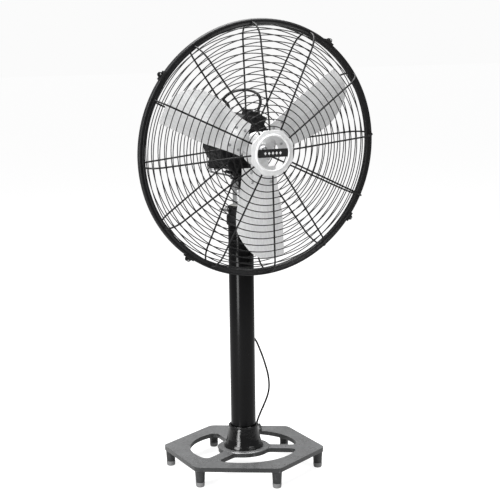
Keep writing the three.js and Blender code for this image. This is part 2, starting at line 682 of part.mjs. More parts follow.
/** One half of the guard: rings and spokes as a single openwork shell. */
function guardHalf(hubRadius, hubDepth, direction) {
  const rows = guardSection(hubRadius, hubDepth).flatMap(({ radius, depth, heading }) =>
    [-1, 1].map((end) => ({
      radius: radius + (end * WIRE / 2) * Math.cos(heading),
      depth: depth + (end * WIRE / 2) * Math.sin(heading),
      heading,
    })));
  const last = rows[rows.length - 1];
  last.depth = RIM_HALF_DEPTH + GAP;
  const columns = SPOKES * 3;
  const positions = [];
  const index = [];
  const corner = (i, j, side) => ((i % columns) * rows.length + j) * 2 + side;
  for (let i = 0; i < columns; i += 1) {
    for (const { radius, depth, heading } of rows) {
      const spoke = SPOKE_OFFSET + (Math.floor(i / 3) * 2 * Math.PI) / SPOKES;
      const swing = [-WIRE / 2 / radius, WIRE / 2 / radius, Math.PI / SPOKES][i % 3];
      for (const side of [-1, 1]) {
        const out = radius - (side * WIRE / 2) * Math.sin(heading);
        const ahead = RIM_PLANE + direction * (depth + (side * WIRE / 2) * Math.cos(heading));
        positions.push(out * Math.cos(spoke + swing), -ahead, out * Math.sin(spoke + swing));
      }
    }
  }
  const filled = (i, j) => j >= 0 && j < rows.length - 1 && (j % 2 === 0 || (i + columns) % 3 === 0);
  const quad = (a, b, c, d) => index.push(a, b, c, a, c, d);
  for (let i = 0; i < columns; i += 1) {
    for (let j = 0; j < rows.length - 1; j += 1) {
      if (!filled(i, j)) continue;
      quad(corner(i, j, 1), corner(i + 1, j, 1), corner(i + 1, j + 1, 1), corner(i, j + 1, 1));
      quad(corner(i, j, 0), corner(i, j + 1, 0), corner(i + 1, j + 1, 0), corner(i + 1, j, 0));
      if (!filled(i, j - 1)) quad(corner(i, j, 0), corner(i + 1, j, 0), corner(i + 1, j, 1), corner(i, j, 1));
      if (!filled(i, j + 1)) {
        quad(corner(i, j + 1, 1), corner(i + 1, j + 1, 1), corner(i + 1, j + 1, 0), corner(i, j + 1, 0));
      }
      if (!filled(i - 1, j)) quad(corner(i, j, 1), corner(i, j + 1, 1), corner(i, j + 1, 0), corner(i, j, 0));
      if (!filled(i + 1, j)) {
        quad(corner(i + 1, j, 0), corner(i + 1, j + 1, 0), corner(i + 1, j + 1, 1), corner(i + 1, j, 1));
      }
    }
  }
  const geometry = new THREE.BufferGeometry();
  geometry.setAttribute('position', new THREE.Float32BufferAttribute(positions, 3));
  geometry.setIndex(index);
  return geometry;
}

const FRONT_HUB_RADIUS = 54;
const REAR_HUB_RADIUS = 42;
add(head, 'front_guard', guardHalf(FRONT_HUB_RADIUS, FRONT_HUB_DEPTH, 1), wireBlack);
add(head, 'rear_guard', guardHalf(REAR_HUB_RADIUS, REAR_HUB_DEPTH, -1), wireBlack);

function rimHalf(direction) {
  const profile = [
    [RIM_INNER, 0.15], [RIM_OUTER, 0.15], [RIM_OUTER, 5], [RIM_OUTER - 4, RIM_HALF_DEPTH],
    [RIM_INNER + 4, RIM_HALF_DEPTH], [RIM_INNER, 5],
  ];
  return spun(ring(profile.map(([radius, depth]) => [radius, RIM_PLANE + direction * depth])), 48);
}

add(head, 'front_rim', rimHalf(1), wireBlack);
add(head, 'rear_rim', rimHalf(-1), wireBlack);

add(head, 'guard_plate', spun(ring([
  [10.5, 42], [REAR_HUB_RADIUS - 0.6, 42], [REAR_HUB_RADIUS - 0.6, 46], [10.5, 46],
])), motorBlack);

/** A clip that grips both rims, with two ears that a screw draws together. */
function rimClamp() {
  const lip = RIM_HALF_DEPTH + 0.4;
  const strap = join(
    block(2.4, 2 * lip + 5, 26, RIM_OUTER + GAP + 1.2, 0, 0),
    block(8.5, 2.5, 26, RIM_OUTER - 1.2, lip + 1.25, 0),
    block(8.5, 2.5, 26, RIM_OUTER - 1.2, -lip - 1.25, 0),
    block(9, 10, 2.4, RIM_OUTER + 6.5, 0, 4),
    block(9, 10, 2.4, RIM_OUTER + 6.5, 0, -4),
  );
  return cut(strap, rod(2.3, -20, 20, 8).translate(RIM_OUTER + 7.2, 0, 0));
}

CLAMP_ANGLES.forEach((angle, index) => {
  const clamp = facing(rimClamp(), angle).translate(0, -RIM_PLANE, 0);
  add(head, `rim_clamp_${index + 1}`, clamp, wireBlack);
});

const BADGE_BACK = RIM_PLANE + FRONT_HUB_DEPTH + WIRE / 2 + GAP;
const BADGE_BORE = 45;
const BADGE_HALF = 59.5; // centre to the middle of a side
const BADGE_CORNER = 15;

function badgeRing() {
  const outline = new THREE.Shape();
  const centre = (BADGE_HALF - BADGE_CORNER) / Math.cos(Math.PI / 8);
  for (let corner = 0; corner < 8; corner += 1) {
    const angle = (Math.PI / 4) * (corner + 0.5);
    outline.absarc(...polar(centre, angle), BADGE_CORNER, angle - Math.PI / 8, angle + Math.PI / 8);
  }
  const flat = plate(outline, 0, 6, 2).rotateX(Math.PI / 2).translate(0, -BADGE_BACK, 0);
  const bead = spun(ring([
    [BADGE_BORE, BADGE_BACK + 3], [BADGE_BORE, BADGE_BACK + 10], [BADGE_BORE + 4, BADGE_BACK + 10],
    [BADGE_BORE + 6, BADGE_BACK + 7], [BADGE_BORE + 6, BADGE_BACK + 3],
  ]));
  const bore = spun([[0, BADGE_BACK - 5], [BADGE_BORE, BADGE_BACK - 5], [BADGE_BORE, BADGE_BACK + 9],
    [0, BADGE_BACK + 9]]);
  return join(cut(flat, bore), bead);
}

add(head, 'badge_ring', badgeRing(), paleAluminium);

add(head, 'badge_bar', common(
  block(110, 3, 22, 0, -BADGE_BACK - 5, 0),
  spun([[0, BADGE_BACK - 2], [BADGE_BORE - 0.6, BADGE_BACK - 2], [BADGE_BORE - 0.6, BADGE_BACK + 12],
    [0, BADGE_BACK + 12]]),
), blackPlastic);

export default fan;
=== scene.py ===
import math

import bmesh
import bpy
from mathutils import Matrix, Vector
from mathutils.geometry import tessellate_polygon


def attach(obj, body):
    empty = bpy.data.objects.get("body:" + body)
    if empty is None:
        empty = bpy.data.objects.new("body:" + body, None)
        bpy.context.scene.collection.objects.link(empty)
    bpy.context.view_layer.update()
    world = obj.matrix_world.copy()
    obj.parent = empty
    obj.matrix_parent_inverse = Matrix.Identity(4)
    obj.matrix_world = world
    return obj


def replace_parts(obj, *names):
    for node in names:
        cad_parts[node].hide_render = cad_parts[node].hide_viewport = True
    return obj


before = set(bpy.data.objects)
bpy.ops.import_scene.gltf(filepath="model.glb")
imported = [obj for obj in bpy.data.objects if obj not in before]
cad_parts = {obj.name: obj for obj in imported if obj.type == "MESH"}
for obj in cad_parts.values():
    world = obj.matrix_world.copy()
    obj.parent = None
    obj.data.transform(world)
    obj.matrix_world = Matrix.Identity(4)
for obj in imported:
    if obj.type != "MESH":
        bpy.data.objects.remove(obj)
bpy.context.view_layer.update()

MM = 0.001
TAU = 2 * math.pi

# ---------------------------------------------------------------- camera

IMAGE_SIDE = 500
SENSOR_WIDTH = 36
FOCAL = 1365.66  # in the image's pixels
DISTANCE = 3.8002
ELEVATION = 0.16441
ROLL = -0.012868
HEADING = math.radians(64.5)  # the way the camera looks over the ground, and the cord leaves the pole
TARGET_SIDE, TARGET_HEIGHT = 0.024904, 0.62433

across = Vector((math.sin(HEADING), -math.cos(HEADING), 0))
beyond = Vector((math.cos(HEADING), math.sin(HEADING), 0))
target = across * TARGET_SIDE + Vector((0, 0, TARGET_HEIGHT))
forward = beyond * math.cos(ELEVATION) - Vector((0, 0, math.sin(ELEVATION)))
level_up = across.cross(forward)
image_right = across * math.cos(ROLL) + level_up * math.sin(ROLL)
image_up = level_up * math.cos(ROLL) - across * math.sin(ROLL)

camera_data = bpy.data.cameras.new("camera")
camera_data.sensor_width = SENSOR_WIDTH
camera_data.lens = FOCAL / IMAGE_SIDE * SENSOR_WIDTH
camera = bpy.data.objects.new("camera", camera_data)
bpy.context.collection.objects.link(camera)
turn = Matrix((image_right, image_up, -forward)).transposed().to_4x4()
camera.matrix_world = Matrix.Translation(target - forward * DISTANCE) @ turn
bpy.context.scene.camera = camera

# ---------------------------------------------------------------- places

QUARTER = math.pi / 2


def shifted(x, y, z):
    return Matrix.Translation((x, y, z))


def turned(angle, axis):
    return Matrix.Rotation(angle, 4, axis)


SCREW_HEIGHT = 0.742
AXIS_RISE = 0.110  # the fan's axis over the tilt bolt
TILT_BOLT = shifted(0, 0, 0.812)
HEAD = TILT_BOLT @ turned(math.radians(3.2), "X") @ shifted(0, 0, AXIS_RISE)
AXIS = HEAD @ turned(QUARTER, "X")  # x across, y up, z ahead along the fan's axis
FLOOR = Matrix.Identity(4)
LAID = turned(HEADING - QUARTER, "Z")  # y runs along the cord's heading


def behind_pole(side, back, height):
    """A point in metres from millimetres across and behind the pole, and above the floor."""
    point = across * side + beyond * back
    return Vector((point.x, point.y, height)) * MM


# ---------------------------------------------------------------- mesh helpers


def add_object(name, mesh, place, body, material):
    obj = bpy.data.objects.new(name, mesh)
    bpy.context.collection.objects.link(obj)
    obj.matrix_world = place
    mesh.materials.append(material)
    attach(obj, body)
    return obj


def clean_mesh(name, vertices, faces, sharp=32):
    """A mesh from millimetre points, with doubles merged, normals out and sharp edges marked."""
    bm = bmesh.new()
    corners = [bm.verts.new(Vector(v) * MM) for v in vertices]
    for face in faces:
        bm.faces.new([corners[i] for i in face])
    bmesh.ops.remove_doubles(bm, verts=bm.verts, dist=2e-6)
    bmesh.ops.dissolve_degenerate(bm, edges=bm.edges, dist=1e-6)
    bmesh.ops.recalc_face_normals(bm, faces=bm.faces)
    mesh = bpy.data.meshes.new(name)
    bm.to_mesh(mesh)
    bm.free()
    mesh.shade_smooth()
    mesh.set_sharp_from_angle(angle=math.radians(sharp))
    return mesh


def rounded(points, radius, closed=False, steps=4):
    """The polyline with its corners rounded, by up to the radius."""
    result = []
    count = len(points)
    for i, point in enumerate(points):
        here = Vector(point)
        if not closed and i in (0, count - 1):
            result.append(here)
            continue
        before = Vector(points[i - 1]) - here
        after = Vector(points[(i + 1) % count]) - here
        reach = min(radius, 0.45 * before.length, 0.45 * after.length)
        start = here + before.normalized() * reach
        end = here + after.normalized() * reach
        for step in range(steps + 1):
            t = step / steps
            result.append(start * (1 - t) ** 2 + here * 2 * t * (1 - t) + end * t ** 2)
    return result


def lathe_parts(profile, closed, segments, fillet):
    line = rounded(profile, fillet, closed) if fillet else [Vector(p) for p in profile]
    vertices, faces = [], []
    rows = len(line)
    for i in range(segments):
        angle = TAU * i / segments
        for point in line:
            vertices.append((point[0] * math.cos(angle), point[0] * math.sin(angle), point[1]))
    for i in range(segments):
        following = (i + 1) % segments
        for j in range(rows if closed else rows - 1):
            k = (j + 1) % rows
            faces.append((i * rows + j, following * rows + j, following * rows + k, i * rows + k))
    return vertices, faces


def lathe(name, profile, place, body, material, closed=False, segments=96, fillet=1.0, sharp=32):
    """Revolves a (radius, height) profile about the place's Z."""
    vertices, faces = lathe_parts(profile, closed, segments, fillet)
    return add_object(name, clean_mesh(name, vertices, faces, sharp), place, body, material)


def spin(name, profile, body, material, node=None, closed=True, segments=112, fillet=1.2, sharp=32):
    """A piece turned about the fan's axis, from (radius, distance ahead) points."""
    obj = lathe(name, profile, AXIS, body, material, closed, segments, fillet, sharp)
    if node:
        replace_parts(obj, node)
    return obj


def sweep_parts(path, radius, sides, closed=False, taper=None):
    """A round wire along a path."""
    points = [Vector(p) for p in path]
    count = len(points)
    vertices, faces = [], []
    tangents = []
    for i in range(count):
        ahead = points[(i + 1) % count] if closed or i < count - 1 else points[i]
        back = points[i - 1] if closed or i > 0 else points[i]
        tangents.append((ahead - back).normalized())
    side = tangents[0].orthogonal().normalized()
    if closed:
        side = (points[count // 3] - points[0]).cross(points[2 * count // 3] - points[0]).normalized()
    for i in range(count):
        side = (side - tangents[i] * side.dot(tangents[i])).normalized()
        other = tangents[i].cross(side)
        size = radius if taper is None else radius * taper(i / (count - 1))
        for k in range(sides):
            angle = TAU * k / sides
            vertices.append(points[i] + side * size * math.cos(angle) + other * size * math.sin(angle))
    for i in range(count if closed else count - 1):
        following = (i + 1) % count
        for k in range(sides):
            m = (k + 1) % sides
            faces.append((i * sides + k, i * sides + m, following * sides + m, following * sides + k))
    if not closed:
        faces.append(tuple(range(sides)))
        faces.append(tuple((count - 1) * sides + k for k in reversed(range(sides))))
    return vertices, faces


def offset_part(part, x, y):
    vertices, faces = part
    return [(vx + x, vy + y, vz) for vx, vy, vz in vertices], faces


def joined(name, parts, place, body, material, sharp=32):
    """Several (vertices, faces) parts as one piece."""
    vertices, faces = [], []
    for some, polygons in parts:
        offset = len(vertices)
        vertices.extend(some)
        faces.extend(tuple(i + offset for i in polygon) for polygon in polygons)
    return add_object(name, clean_mesh(name, vertices, faces, sharp), place, body, material)


def slab_parts(outline, bottom, top, holes=()):
    loops = [[Vector((p[0], p[1], 0)) for p in loop] for loop in (outline, *holes)]
    flat = [p for loop in loops for p in loop]
    count = len(flat)
    vertices = [(p.x, p.y, bottom) for p in flat] + [(p.x, p.y, top) for p in flat]
    faces = []
    for a, b, c in tessellate_polygon(loops):
        faces.append((a, b, c))
        faces.append((c + count, b + count, a + count))
    start = 0
    for loop in loops:
        size = len(loop)
        for i in range(size):
            j = (i + 1) % size
            faces.append((start + i, start + j, start + j + count, start + i + count))
        start += size
    return vertices, faces


def add_bevel(obj, width, segments=3, angle=35):
    bevel = obj.modifiers.new("edge", "BEVEL")
    bevel.width = width * MM
    bevel.segments = segments
    bevel.limit_method = "ANGLE"
    bevel.angle_limit = math.radians(angle)
    bevel.harden_normals = True
    return obj


def slab(name, outline, bottom, top, place, body, material, holes=(), bevel=0.8, sharp=32):
    """A flat plate from an outline in the place's XY plane, with rounded edges."""
    vertices, faces = slab_parts(outline, bottom, top, holes)
    obj = add_object(name, clean_mesh(name, vertices, faces, sharp), place, body, material)
    return add_bevel(obj, bevel) if bevel else obj


def polar(radius, angle):
    return (radius * math.cos(angle), radius * math.sin(angle))


def arc(centre, radius, start, end, steps=12):
    return [
        (centre[0] + radius * math.cos(start + (end - start) * i / steps),
         centre[1] + radius * math.sin(start + (end - start) * i / steps))
        for i in range(steps + 1)
    ]


def circle(radius, centre=(0, 0), count=48):
    angles = [TAU * i / count for i in range(count)]
    return [(centre[0] + radius * math.cos(a), centre[1] + radius * math.sin(a)) for a in angles]


def rectangle(width, height, radius, centre=(0, 0)):
    corners = [(1, 1, 0), (-1, 1, 1), (-1, -1, 2), (1, -1, 3)]
    points = []
    for sx, sy, quarter in corners:
        middle = (centre[0] + sx * (width / 2 - radius), centre[1] + sy * (height / 2 - radius))
        points += arc(middle, radius, quarter * QUARTER, (quarter + 1) * QUARTER, 5)
    return points


def stadium(a, b, radius_a, radius_b, steps=12, waist=None):
    """A link with round ends about two centres, full in width or with a bar of half width waist."""
    heading = math.atan2(b[1] - a[1], b[0] - a[0])
    turn_a, turn_b = (math.asin(waist / r) if waist else QUARTER for r in (radius_a, radius_b))
    return arc(a, radius_a, heading + turn_a, heading + 2 * math.pi - turn_a, steps) + arc(
        b, radius_b, heading - math.pi + turn_b, heading + math.pi - turn_b, steps)


def smooth_line(points, per_span=8):
    """A Catmull-Rom curve through the points."""
    line = [Vector(p) for p in points]
    result = []
    for i in range(len(line) - 1):
        p0 = line[max(i - 1, 0)]
        p1, p2 = line[i], line[i + 1]
        p3 = line[min(i + 2, len(line) - 1)]
        for step in range(per_span):
            t = step / per_span
            result.append(0.5 * (2 * p1 + (p2 - p0) * t + (2 * p0 - 5 * p1 + 4 * p2 - p3) * t ** 2
                                 + (3 * p1 - p0 - 3 * p2 + p3) * t ** 3))
    result.append(line[-1])
    return result


# ---------------------------------------------------------------- materials


def surface(name, colour, second, roughness, spread=0.08, metallic=0.0, coat=0.0, specular=0.5,
            patch=18.0, grain=None, bumps=(), stretch=(1, 1, 1), wear=None, painted_top_tone=None):
    """A procedural finish: two tones in patches, a lighter tone painted on upward faces as painted top
    light, wear, bumps and uneven gloss.
    """
    material = bpy.data.materials.new(name)
    material.use_nodes = True
    tree = material.node_tree
    shader = tree.nodes["Principled BSDF"]
    shader.inputs["Metallic"].default_value = metallic
    shader.inputs["Specular IOR Level"].default_value = specular
    shader.inputs["Coat Weight"].default_value = coat
    shader.inputs["Coat Roughness"].default_value = 0.06
    place = tree.nodes.new("ShaderNodeTexCoord")
    mapping = tree.nodes.new("ShaderNodeMapping")
    mapping.inputs["Scale"].default_value = stretch
    tree.links.new(place.outputs["Object"], mapping.inputs["Vector"])

    def noise(scale, detail=4.0, rough=0.55, source=mapping.outputs["Vector"]):
        node = tree.nodes.new("ShaderNodeTexNoise")
        node.inputs["Scale"].default_value = scale
        node.inputs["Detail"].default_value = detail
        node.inputs["Roughness"].default_value = rough
        tree.links.new(source, node.inputs["Vector"])
        return node.outputs["Fac"]

    def spanned(value, low, high, start=0.3, end=0.7):
        node = tree.nodes.new("ShaderNodeMapRange")
        node.inputs["From Min"].default_value = start
        node.inputs["From Max"].default_value = end
        node.inputs["To Min"].default_value = low
        node.inputs["To Max"].default_value = high
        tree.links.new(value, node.inputs["Value"])
        return node.outputs["Result"]

    def mixed(factor, a, b):
        node = tree.nodes.new("ShaderNodeMix")
        node.data_type = "RGBA"
        tree.links.new(factor, node.inputs["Factor"])
        for socket, value in ((node.inputs["A"], a), (node.inputs["B"], b)):
            if hasattr(value, "links"):
                tree.links.new(value, socket)
            else:
                socket.default_value = (*value, 1)
        return node.outputs["Result"]

    tone = mixed(spanned(noise(patch), 0, 1), colour, second)
    # Upward faces are mixed towards a lighter tone by their normal: painted top light, tops brighter than
    # sides in the colour itself.
    if painted_top_tone:
        split = tree.nodes.new("ShaderNodeSeparateXYZ")
        tree.links.new(place.outputs["Normal"], split.inputs["Vector"])
        painted_top_light = mixed(spanned(noise(patch * 1.7), 0, 1), painted_top_tone, tuple(1.25 * c for c in painted_top_tone))
        tone = mixed(spanned(split.outputs["Z"], 0, 1, 0.55, 0.95), tone, painted_top_light)
    if grain:
        tone = mixed(spanned(noise(grain, 6, 0.7), 0, 0.5), tone, tuple(0.6 * c for c in colour))
    if wear:
        geometry = tree.nodes.new("ShaderNodeNewGeometry")
        tone = mixed(spanned(geometry.outputs["Pointiness"], 0, 1, 0.53, 0.62), tone, wear)
    tree.links.new(tone, shader.inputs["Base Color"])
    gloss = spanned(noise(patch * 2.3, 5), roughness - spread, roughness + spread)
    tree.links.new(gloss, shader.inputs["Roughness"])

    normal = None
    for kind, scale, strength, depth in bumps:
        if kind == "cells":
            texture = tree.nodes.new("ShaderNodeTexVoronoi")
            texture.feature = "SMOOTH_F1"
            texture.inputs["Scale"].default_value = scale
            tree.links.new(mapping.outputs["Vector"], texture.inputs["Vector"])
            height = texture.outputs["Distance"]
        else:
            height = noise(scale, 5.0, 0.6)
        bump = tree.nodes.new("ShaderNodeBump")
        bump.inputs["Strength"].default_value = strength
        bump.inputs["Distance"].default_value = depth
        tree.links.new(height, bump.inputs["Height"])
        if normal:
            tree.links.new(normal, bump.inputs["Normal"])
        normal = bump.outputs["Normal"]
    if normal:
        tree.links.new(normal, shader.inputs["Normal"])
    return material


# The hammertone's upward faces get a lighter tone: painted top light over the darker sides.
HAMMERTONE = surface(
    "hammertone", (0.035, 0.036, 0.037), (0.065, 0.066, 0.067), 0.30, 0.07, metallic=0.35, coat=0.4,
    patch=9, grain=160, bumps=[("cells", 210, 0.55, 0.0006), ("noise", 60, 0.25, 0.0008)],
    wear=(0.20, 0.20, 0.21), painted_top_tone=(0.205, 0.207, 0.21))
BLACK_GLOSS = surface(
    "black_gloss", (0.003, 0.003, 0.0032), (0.005, 0.005, 0.0053), 0.17, 0.04, coat=0.02,
    specular=0.18, patch=6, bumps=[("noise", 90, 0.05, 0.0006)])
CUP_ENAMEL = surface(
    "cup_enamel", (0.003, 0.003, 0.0032), (0.006, 0.006, 0.0063), 0.12, 0.04, coat=0.3, specular=0.4,
    patch=14, bumps=[("noise", 30, 0.55, 0.004)])
BLACK_SATIN = surface(
    "black_satin", (0.004, 0.004, 0.0044), (0.008, 0.008, 0.0085), 0.45, 0.08, specular=0.3, patch=20,
    bumps=[("noise", 420, 0.25, 0.0003)], wear=(0.06, 0.06, 0.062))
CAST_BLACK = surface(
    "cast_black", (0.005, 0.005, 0.0054), (0.011, 0.011, 0.012), 0.52, 0.1, specular=0.3, patch=26,
    grain=300, bumps=[("noise", 300, 0.4, 0.0005), ("cells", 500, 0.15, 0.0003)],
    wear=(0.04, 0.04, 0.042))
WIRE = surface(
    "coated_wire", (0.004, 0.004, 0.0044), (0.008, 0.008, 0.0085), 0.45, 0.07, specular=0.3, patch=30,
    bumps=[("noise", 500, 0.15, 0.0002)])
RIM = surface(
    "rim_enamel", (0.005, 0.005, 0.0055), (0.011, 0.011, 0.012), 0.36, 0.07, coat=0.04, specular=0.3,
    patch=12, bumps=[("noise", 200, 0.12, 0.0003)], wear=(0.05, 0.05, 0.05))
BLADE = surface(
    "blade_aluminium", (0.82, 0.823, 0.826), (0.90, 0.902, 0.904), 0.42, 0.08, metallic=0.15, patch=14,
    grain=240, bumps=[("noise", 700, 0.12, 0.0002)], stretch=(0.25, 1, 1))
CAST_ALLOY = surface(
    "cast_alloy", (0.80, 0.803, 0.806), (0.90, 0.902, 0.904), 0.42, 0.1, metallic=0.15, patch=30,
    grain=260, bumps=[("noise", 260, 0.3, 0.0004)])
BADGE = surface(
    "badge_alloy", (0.86, 0.862, 0.864), (0.92, 0.921, 0.922), 0.38, 0.07, metallic=0.2, patch=24,
    grain=320, bumps=[("noise", 900, 0.15, 0.0002)], stretch=(1, 0.12, 1))
STEEL = surface(
    "zinc_steel", (0.42, 0.425, 0.43), (0.56, 0.565, 0.57), 0.32, 0.08, metallic=0.95, patch=60,
    grain=420, bumps=[("noise", 500, 0.15, 0.0002)])
TUBE = surface(
    "tube_enamel", (0.42, 0.425, 0.43), (0.50, 0.503, 0.506), 0.30, 0.06, metallic=0.45, coat=0.3,
    patch=16, bumps=[("noise", 320, 0.12, 0.0003)], stretch=(1, 1, 0.2))
RUBBER = surface(
    "grey_rubber", (0.20, 0.20, 0.202), (0.28, 0.28, 0.282), 0.72, 0.08, patch=40,
    bumps=[("noise", 600, 0.4, 0.0003)])
CORD = surface(
    "cord_jacket", (0.010, 0.010, 0.010), (0.016, 0.016, 0.016), 0.42, 0.06, patch=30,
    bumps=[("noise", 900, 0.25, 0.0002)])
PLASTIC = surface(
    "moulded_black", (0.013, 0.013, 0.013), (0.021, 0.021, 0.021), 0.45, 0.07, patch=40,
    bumps=[("noise", 900, 0.3, 0.0002)])
BAR_BLACK = surface(
    "bar_black", (0.006, 0.006, 0.006), (0.010, 0.010, 0.010), 0.30, 0.06, coat=0.2, patch=40,
    bumps=[("noise", 700, 0.12, 0.0002)])
NYLON = surface(
    "nylon", (0.60, 0.59, 0.55), (0.68, 0.67, 0.63), 0.5, 0.06, patch=40,
    bumps=[("noise", 500, 0.2, 0.0003)])
IRON = surface(
    "laminations", (0.14, 0.14, 0.145), (0.22, 0.22, 0.225), 0.5, 0.1, metallic=0.7, patch=30,
    grain=300, bumps=[("noise", 400, 0.4, 0.0004)], stretch=(1, 4, 1))
BRASS = surface(
    "brass", (0.55, 0.42, 0.20), (0.66, 0.52, 0.27), 0.28, 0.07, metallic=1.0, patch=60,
    bumps=[("noise", 600, 0.12, 0.0002)])

# ---------------------------------------------------------------- supply cord

CORD_DIAMETER = 5.5
CORD_TOTAL = 1.8
HANK_START = 270.3
HANK_LENGTH = 138
HANK_LOOP = 35  # between the middles of the two lanes
HANK_FLOOR = 4.6  # height of the lowest turn's middle
LAYER = 5.62
HANK_MARGIN = 3
TURN_STEPS = 80
TIE_HEIGHT, TIE_MIDDLE, TIE_WIRE = 25.4, 13.9, 1.1

ROUTE = [  # across, behind the pole, height
    (0, 68.5, 372), (1, 79, 371.7), (12, 92, 367.5), (25, 98, 359), (37.4, 97, 345), (46.5, 95, 326),
    (57.5, 91, 297), (65.7, 87, 271), (72.3, 83, 245), (75, 80, 216), (72, 77, 192), (63, 74, 167),
    (50, 71, 138), (41, 71, 115), (37, 80, 95), (39, 98, 78), (44, 120, 67), (50, 145, 62.8),
    (50, 168, 62.6), (48, 187, 62.8), (45.5, 201, 61.9), (41.8, 213.8, 53.5), (35.5, 224, 38.5),
    (28.3, 234.2, 23.4), (22.2, 245, 12), (18.5, 257, 5.6), (17.5, 270, 4.6),
]


def length_of(points):
    return sum((b - a).length for a, b in zip(points, points[1:]))


def hank_path(turns):
    """Flat oval turns laid one on another, from the lane the cord arrives in to the hank's far end."""
    half = HANK_LOOP / 2
    near = HANK_START + HANK_MARGIN + half
    far = HANK_START + HANK_LENGTH - HANK_MARGIN - half
    run = far - near
    one_turn = 2 * run + math.pi * HANK_LOOP
    points = []
    steps = int(turns * TURN_STEPS)
    for step in range(steps + 1):
        distance = one_turn * turns * step / steps
        level = HANK_FLOOR + LAYER * distance / one_turn
        part = distance % one_turn
        if part < run:
            place = (half, near + part)
        elif part < run + math.pi * half:
            angle = (part - run) / half
            place = (half * math.cos(angle), far + half * math.sin(angle))
        elif part < 2 * run + math.pi * half:
            place = (-half, far - (part - run - math.pi * half))
        else:
            angle = (part - 2 * run - math.pi * half) / half
            place = (-half * math.cos(angle), near - half * math.sin(angle))
        points.append((place[0], place[1], level))
    return points


def cord_points():
    """The whole cord, with as much of it in the hank as makes up its length."""
    lead = smooth_line([behind_pole(*p) for p in ROUTE], 6)
    lead.append(behind_pole(HANK_LOOP / 2, HANK_START + 10, HANK_FLOOR))
    hanks = (hank_path(count / TURN_STEPS) for count in range(250, 380))
    lines = (lead + [behind_pole(*p) for p in hank] for hank in hanks)
    return min(lines, key=lambda points: abs(length_of(points) - CORD_TOTAL))


line = cord_points()
cord_curve = bpy.data.curves.new("supply_cord", "CURVE")
cord_curve.dimensions = "3D"
cord_curve.bevel_depth = CORD_DIAMETER / 2 * MM
cord_curve.bevel_resolution = 4
cord_curve.use_fill_caps = True
spline = cord_curve.splines.new("POLY")
spline.points.add(len(line) - 1)
for point, place in zip(spline.points, line):
    point.co = (*place, 1)
spline.use_smooth = True
cord = bpy.data.objects.new("supply_cord", cord_curve)
bpy.context.collection.objects.link(cord)
cord_curve.materials.append(CORD)
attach(cord, "base")
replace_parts(cord, "cord_lead", "cord_hank")

plug_place = LAID @ shifted(0, (HANK_START + HANK_LENGTH + 0.3) * MM, 0.0132) @ turned(-QUARTER, "X")
plug = lathe("plug_body", [
    (0, 0), (3.6, 0), (4, 2), (4.6, 8), (5.4, 18), (9, 26), (16.5, 33), (18, 37), (18, 47.8), (0, 47.8)],
    plug_place @ Matrix.Diagonal((1, 0.72, 1, 1)), "base", PLASTIC, fillet=1.6)
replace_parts(plug, "cord_plug")
for number, (x, y) in enumerate(((-7, 2), (7, 2), (0, -4))):
    lathe(f"plug_pin_{number + 1}", [(0, 47.6), (2.4, 47.6), (2.4, 63), (1.6, 65), (0, 65)],
                      plug_place @ shifted(x * MM, y * MM, 0), "base", BRASS, segments=32, fillet=0.5)
tie_parts = []
tie_line = rectangle(HANK_LOOP + 7.6, TIE_HEIGHT, 5)
for offset in (-2.2, 2.2):
    middle = HANK_START + HANK_LENGTH / 2 + offset
    path = [(x, middle, y + TIE_MIDDLE) for x, y in tie_line]
    tie_parts.append(sweep_parts(path, TIE_WIRE, 10, closed=True))
tie = joined("cord_tie", tie_parts, LAID, "base", PLASTIC, 50)

GLAND = shifted(0, 0, ROUTE[0][2] * MM) @ turned(HEADING, "Z") @ turned(QUARTER, "Y")
gland_line = [(0, 29), (6.6, 29), (6.6, 35.3), (10, 35.3), (10, 38.2), (7, 39)]
for step in range(6):  # the ribs of the boot
    back = 42 + step * 4
    size = 6.6 - step * 0.45
    gland_line += [(size, back), (size - 0.9, back + 0.8), (size - 0.9, back + 2.2), (size - 0.3, back + 3)]
gland_line += [(3.4, 67.9), (2.9, 67.9), (0, 67.9)]
relief = lathe("strain_relief", gland_line, GLAND, "base", PLASTIC, segments=40, fillet=0.3)
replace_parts(relief, "cord_gland")

# ---------------------------------------------------------------- base

BASE_RADIUS = 230
LEG_CIRCLE = 210
BASE_CORNER = 22
RING_INNER = 153
DISC_RADIUS = 72
ARM = 18  # half the width of an arm
OUTER_ROUND = (22, 0.14)  # how far an opening's rounding reaches, along the arm and as an angle
INNER_ROUND = (12, 0.16)
PLATE_BOTTOM, PLATE_TOP = 47, 59


def hexagon():
    """The base plate's outline, with rounded corners."""
    points = []
    centre = BASE_RADIUS - BASE_CORNER / math.cos(math.pi / 6)
    for index in range(6):
        angle = math.radians(30 + 60 * index)
        points += arc(polar(centre, angle), BASE_CORNER, angle - math.pi / 6, angle + math.pi / 6, 10)
    return points


def quadratic(a, b, c, steps=8):
    """The inner points of a quadratic curve from a to c, pulled towards b."""
    return [((1 - t) ** 2 * a[0] + 2 * t * (1 - t) * b[0] + t * t * c[0],
             (1 - t) ** 2 * a[1] + 2 * t * (1 - t) * b[1] + t * t * c[1])
            for t in [(i + 1) / (steps + 1) for i in range(steps)]]


